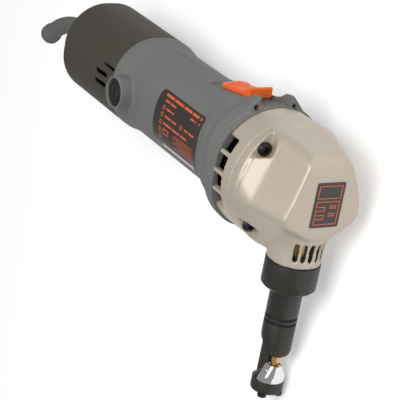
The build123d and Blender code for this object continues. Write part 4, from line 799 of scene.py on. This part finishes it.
class NIBBLER_OT_cutters(bpy.types.Operator):
    """Gold-coloured punch and ground die"""
    bl_idname = "nibbler.cutters"
    bl_label = "Punch and die"

    def execute(self, context):
        edge = context.scene.nibbler_head.edge
        for node, body, slot in (("punch", "punch_set", "punch_gold"), ("die", "die_set", "die_steel")):
            piece = skin_of(node)
            if node == "die":
                moulded(piece, 0.3, 4)
            else:
                edged(piece, edge * 0.5)
            smooth_shading(piece, 28)
            settle(piece, node + "_ground", body, slot, node)
        return DONE


class NIBBLER_OT_die_screws(bpy.types.Operator):
    """Socket screws under the foot"""
    bl_idname = "nibbler.die_screws"
    bl_label = "Die screws"

    def execute(self, context):
        piece = skin_of("die_screws")
        edged(piece, 0.3)
        lowest = min(v.co.z for v in piece.data.vertices) / MM
        x, y = DIE_SCREW_PLACE
        sockets = [prism(6, 1.5, 3.0, (x, side * y, lowest), (0, 0, 1)) for side in (-1, 1)]
        cut_with(piece, join_all(sockets))
        smooth_shading(piece, 28)
        settle(piece, "die_screws_socketed", "die_set", "screw_black", "die_screws")
        return DONE


class NIBBLER_OT_plates(bpy.types.Operator):
    """Dark plates on the grip and on the gear case, with plain coloured bars and frames"""
    bl_idname = "nibbler.plates"
    bl_label = "Plates"

    def execute(self, context):
        look = context.scene.nibbler_plates
        housing, case = bpy.data.objects["motor_housing_moulding"], bpy.data.objects["gear_case_casting"]
        sheet, ink = look.thickness, look.thickness + 0.05
        grip = self.patch(*GRIP_PLATE, 3.0, 12, 28)
        nose = self.patch(*NOSE_PLATE, 1.0, 4, 4)
        settle(self.laid(grip, housing, self.on_grip, sheet), "rating_plate", "tool", "plate_print")
        settle(self.laid(nose, case, self.on_nose, sheet), "nose_plate", "tool", "plate_print")
        for name, bars, target, placing, colour in (
                ("rating_bars", self.grip_bars(), housing, self.on_grip, look.line_colour),
                ("rating_pale_bar", [PALE_BAR], housing, self.on_grip, look.pale_colour),
                ("nose_bars", self.nose_bars(), case, self.on_nose, look.line_colour)):
            piece = self.laid(self.strips(bars), target, placing, ink)
            settle(piece, name, "tool", "plate_print")
            piece.data.materials[0] = finish("plate_print", tuple(colour))
        return DONE

    def on_grip(self, u, v):
        """Point outside the grip's left side: u along the motor, v round it, from the side upwards."""
        angle = v / GRIP_RADIUS
        return Vector((u, -GRIP_CLEAR * math.cos(angle), GRIP_CLEAR * math.sin(angle)))

    def on_nose(self, u, v):
        """Point in front of the gear case: u to its left, v upwards."""
        return Vector((FRONT_X + 1.0, u, v))

    def grip_bars(self):
        """Corners of the bars: broken rows beside small square frames, and fine rows at the lower right."""
        rows = ((16.3, 1.7, (-129.0, -119.5, -118.3, -107.0, -105.8, -96.5, -95.3, -84.0)),
                (12.8, 1.2, (-127.3, -121.5, -120.5, -113.5, -94.9, -90.6, -89.6, -83.5)),
                (8.5, 1.3, (-122.2, -116.4, -115.2, -112.9)), (3.9, 1.3, (-121.8, -114.0, -112.9, -106.8)),
                (4.2, 1.2, (-97.0, -92.2, -91.2, -85.1)),
                (-0.6, 1.3, (-122.0, -111.8, -110.6, -101.0, -99.8, -92.2)))
        bars = []
        for middle, tall, ends in rows:
            bars += [(u0, u1, middle - tall / 2, middle + tall / 2) for u0, u1 in zip(ends[::2], ends[1::2])]
        for u, v in (*((-125.6, v) for v in (8.5, 3.9, -0.9, -5.6, -10.3)), (-101.0, 4.2)):
            bars += self.outline(u - 1.3, u + 1.3, v - 1.3, v + 1.3, 0.5)
        bars += self.outline(-121.6, -114.6, -7.6, -3.6, 0.7)
        for row, reach in enumerate((24.0, 25.0, 21.0, 25.5, 18.0, 23.0)):
            high = -3.4 - 1.6 * row
            bars.append((-83.5 - reach, -83.5, high - 0.45, high))
        return bars

    def nose_bars(self):
        """Corners of the thin bars that frame two fields, with two small boxes in the lower one."""
        bars = [(1.4, 6.2, z, z + 0.6) for z in (3.4, 2.0, -1.6, -3.0)]
        for field in ((-8.2, 8.2, 8.2, 16.6), (-8.2, 8.2, -8.2, 6.6),
                      (-8.2, -1.6, 0.4, 3.4), (-8.2, -1.6, -4.8, -1.8)):
            bars += self.outline(*field, 0.5)
        return bars

    def outline(self, u0, u1, v0, v1, line):
        """Four bars round a field."""
        return [(u0, u1, v1 - line, v1), (u0, u1, v0, v0 + line), (u0, u0 + line, v0 + line, v1 - line),
                (u1 - line, u1, v0 + line, v1 - line)]

    def strips(self, bars):
        """Flat strips for all bars: equal grids side by side, then each one drawn to its corners."""
        cells = {"x_subdivisions": 4, "y_subdivisions": 2, "size": 1}
        bpy.ops.object.select_all(action="DESELECT")
        bpy.ops.mesh.primitive_grid_add(**cells)
        bpy.ops.object.mode_set(mode="EDIT")
        for place in range(1, len(bars)):
            bpy.ops.mesh.primitive_grid_add(location=(2 * place, 0, 0), **cells)
        bpy.ops.object.mode_set(mode="OBJECT")
        made = bpy.context.object
        for vertex in made.data.vertices:
            place = round(vertex.co.x / 2)
            u0, u1, v0, v1 = bars[place]
            vertex.co.x = (u0 + (u1 - u0) * (vertex.co.x - 2 * place + 0.5)) * MM
            vertex.co.y = (v0 + (v1 - v0) * (vertex.co.y + 0.5)) * MM
        return made

    def patch(self, u0, u1, v0, v1, corner, across, up):
        """Flat patch with round corners, cut into cells so that it can be bent."""
        bpy.ops.object.select_all(action="DESELECT")
        bpy.ops.mesh.primitive_plane_add(size=1, location=((u0 + u1) / 2 * MM, (v0 + v1) / 2 * MM, 0))
        made = bpy.context.object
        made.scale = ((u1 - u0) * MM, (v1 - v0) * MM, 1)
        bake_place(made)
        bpy.ops.object.mode_set(mode="EDIT")
        bpy.ops.mesh.select_all(action="SELECT")
        if corner:
            bpy.ops.mesh.bevel(offset=corner * MM, segments=6, affect="VERTICES")
        for count, low, high, way in ((across, u0, u1, (1, 0, 0)), (up, v0, v1, (0, 1, 0))):
            for step in range(1, count):
                here = (low + (high - low) * step / count) * MM
                bpy.ops.mesh.select_all(action="SELECT")
                bpy.ops.mesh.bisect(plane_co=tuple(here * w for w in way), plane_no=way)
        bpy.ops.object.mode_set(mode="OBJECT")
        return made

    def laid(self, sheet, target, placing, thickness):
        """Lay a flat sheet onto a finished piece and give it its thickness."""
        for vertex in sheet.data.vertices:
            vertex.co = placing(vertex.co.x / MM, vertex.co.y / MM) * MM
        sheet.data.transform(TOOL)
        apply_modifier(sheet, "SHRINKWRAP", wrap_method="NEAREST_SURFACEPOINT", target=target,
                       offset=0.02 * MM)
        sheet.data.transform(TOOL.inverted())
        apply_modifier(sheet, "SOLIDIFY", thickness=thickness * MM, offset=1.0)
        smooth_shading(sheet, 40)
        return sheet


class NIBBLER_OT_inner_parts(bpy.types.Operator):
    """Finishes of the pieces that keep their own solids"""
    bl_idname = "nibbler.inner_parts"
    bl_label = "Inner parts"

    def execute(self, context):
        slots = {part["node"]: part["material_slot"] for part in frame["record"]["subparts"]}
        for node, piece in frame["nodes"].items():
            piece.data.materials.clear()
            piece.data.materials.append(finish(slots[node]))
        return DONE


class NIBBLER_OT_stage(bpy.types.Operator):
    """Pale floor, soft light and the camera"""
    bl_idname = "nibbler.stage"
    bl_label = "Stage"

    def execute(self, context):
        look = context.scene.nibbler_stage
        self.floor(look)
        self.lamps(look)
        self.sky(look)
        self.camera()
        context.scene.view_settings.view_transform = "Standard"
        return DONE

    def floor(self, look):
        """Floor that shows white to the camera and keeps the tool's shadow."""
        bpy.ops.object.select_all(action="DESELECT")
        bpy.ops.mesh.primitive_plane_add(size=look.floor_size, location=(0, 0, 0))
        floor = bpy.context.object
        floor.name = "floor"
        material = bpy.data.materials.new("floor_paper")
        material.use_nodes = True
        tree = material.node_tree
        shader = tree.nodes["Principled BSDF"]
        shader.inputs["Base Color"].default_value = tuple(look.floor_colour) + (1,)
        shader.inputs["Roughness"].default_value = 0.8
        shader.inputs["Emission Color"].default_value = (1, 1, 1, 1)
        rays = add_node(tree, "ShaderNodeLightPath")
        seen = rays.outputs["Is Camera Ray"]
        for name in ("Is Glossy Ray", "Is Transmission Ray"):
            both = add_node(tree, "ShaderNodeMath", {0: seen, 1: rays.outputs[name]}, operation="MAXIMUM")
            seen = both.outputs[0]
        tree.links.new(times(tree, seen, 0.35), shader.inputs["Emission Strength"])
        floor.data.materials.append(material)

    def lamps(self, look):
        """Key lamp on the camera's left, fill lamp above on its right."""
        _, right, up, back = view_axes()
        aim = TOOL @ Vector((-0.09, 0, -0.03))
        for name, way, size, power in (("key", 0.12 * up - 0.45 * right + 0.85 * back, 0.8, look.key_power),
                                       ("fill", 0.6 * up + 0.5 * right + 0.5 * back, 0.9, look.fill_power)):
            way.normalize()
            bpy.ops.object.light_add(type="AREA", location=aim + way * 1.3)
            lamp = bpy.context.object
            lamp.name = name + "_light"
            lamp.rotation_euler = way.to_track_quat("Z", "Y").to_euler()
            lamp.data.size = size
            lamp.data.energy = power

    def sky(self, look):
        """Even pale light from all round."""
        world = bpy.context.scene.world or bpy.data.worlds.new("sky")
        bpy.context.scene.world = world
        world.use_nodes = True
        background = world.node_tree.nodes["Background"]
        background.inputs["Color"].default_value = (1, 1, 1, 1)
        rays = add_node(world.node_tree, "ShaderNodeLightPath")
        seen = rays.outputs["Is Camera Ray"]
        level = add_node(world.node_tree, "ShaderNodeMix", {"Factor": seen, "A": look.sky, "B": 1.0},
                         data_type="FLOAT").outputs["Result"]
        world.node_tree.links.new(level, background.inputs["Strength"])

    def camera(self):
        """Camera at the angle from which the tool is seen with its head down."""
        eye, right, up, back = view_axes()
        bpy.ops.object.camera_add()
        camera = bpy.context.object
        camera.name = "camera"
        place = Matrix((right, up, back)).transposed().to_4x4()
        place.translation = eye
        camera.matrix_world = place
        camera.data.lens, camera.data.sensor_width = 153.0, 36.0
        camera.data.clip_start = 0.05
        bpy.context.scene.camera = camera


def view_axes():
    """Eye and right, up and backward directions of the camera, in the row frame."""
    azimuth, elevation, roll = (math.radians(angle) for angle in (55.98, 21.76, 10.72))
    distance = 1.10756
    target = Vector((-0.11007, 0, -0.05082))
    back = Vector((math.sin(azimuth) * math.cos(elevation), -math.cos(azimuth) * math.cos(elevation),
                   math.sin(elevation)))
    level = Vector((math.cos(azimuth), math.sin(azimuth), 0))
    upright = back.cross(level)
    right = level * math.cos(roll) + upright * math.sin(roll)
    up = upright * math.cos(roll) - level * math.sin(roll)
    turn = TOOL.to_3x3()
    return TOOL @ (target + back * distance), turn @ right, turn @ up, turn @ back


STEPS = (NIBBLER_OT_stage, NIBBLER_OT_motor_housing, NIBBLER_OT_rear_cover, NIBBLER_OT_cord_guard,
         NIBBLER_OT_brush_caps, NIBBLER_OT_switch_slider, NIBBLER_OT_gear_ring, NIBBLER_OT_gear_case,
         NIBBLER_OT_case_screws, NIBBLER_OT_lock_nut, NIBBLER_OT_die_holder, NIBBLER_OT_cutters,
         NIBBLER_OT_die_screws, NIBBLER_OT_plates, NIBBLER_OT_inner_parts)
SETTINGS = {"nibbler_shell": NibblerShell, "nibbler_castings": NibblerCastings, "nibbler_head": NibblerHead,
            "nibbler_plates": NibblerPlates, "nibbler_stage": NibblerStage}


class NIBBLER_PT_panel(bpy.types.Panel):
    """Settings and steps of the nibbler"""
    bl_idname = "NIBBLER_PT_panel"
    bl_label = "Nibbler"
    bl_space_type = "VIEW_3D"
    bl_region_type = "UI"
    bl_category = "Nibbler"

    def draw(self, context):
        for name, group in SETTINGS.items():
            box = self.layout.box()
            box.label(text=group.__doc__)
            for setting in group.__annotations__:
                box.prop(getattr(context.scene, name), setting)
        for step in STEPS:
            self.layout.operator(step.bl_idname)


def register():
    """Register the settings, the steps and the panel."""
    for group in SETTINGS.values():
        bpy.utils.register_class(group)
    for step in STEPS + (NIBBLER_PT_panel,):
        bpy.utils.register_class(step)
    for name, group in SETTINGS.items():
        setattr(bpy.types.Scene, name, PointerProperty(type=group))


def unregister():
    """Take back what register added."""
    for name in SETTINGS:
        delattr(bpy.types.Scene, name)
    for added in (NIBBLER_PT_panel,) + STEPS + tuple(SETTINGS.values()):
        bpy.utils.unregister_class(added)


def main():
    """Register everything and build every piece in order."""
    register()
    for step in STEPS:
        operator = step.bl_idname.split(".")[1]
        if getattr(bpy.ops.nibbler, operator)() != DONE:
            raise RuntimeError(step.bl_label + " was not finished")


if __name__ == "__main__":
    main()
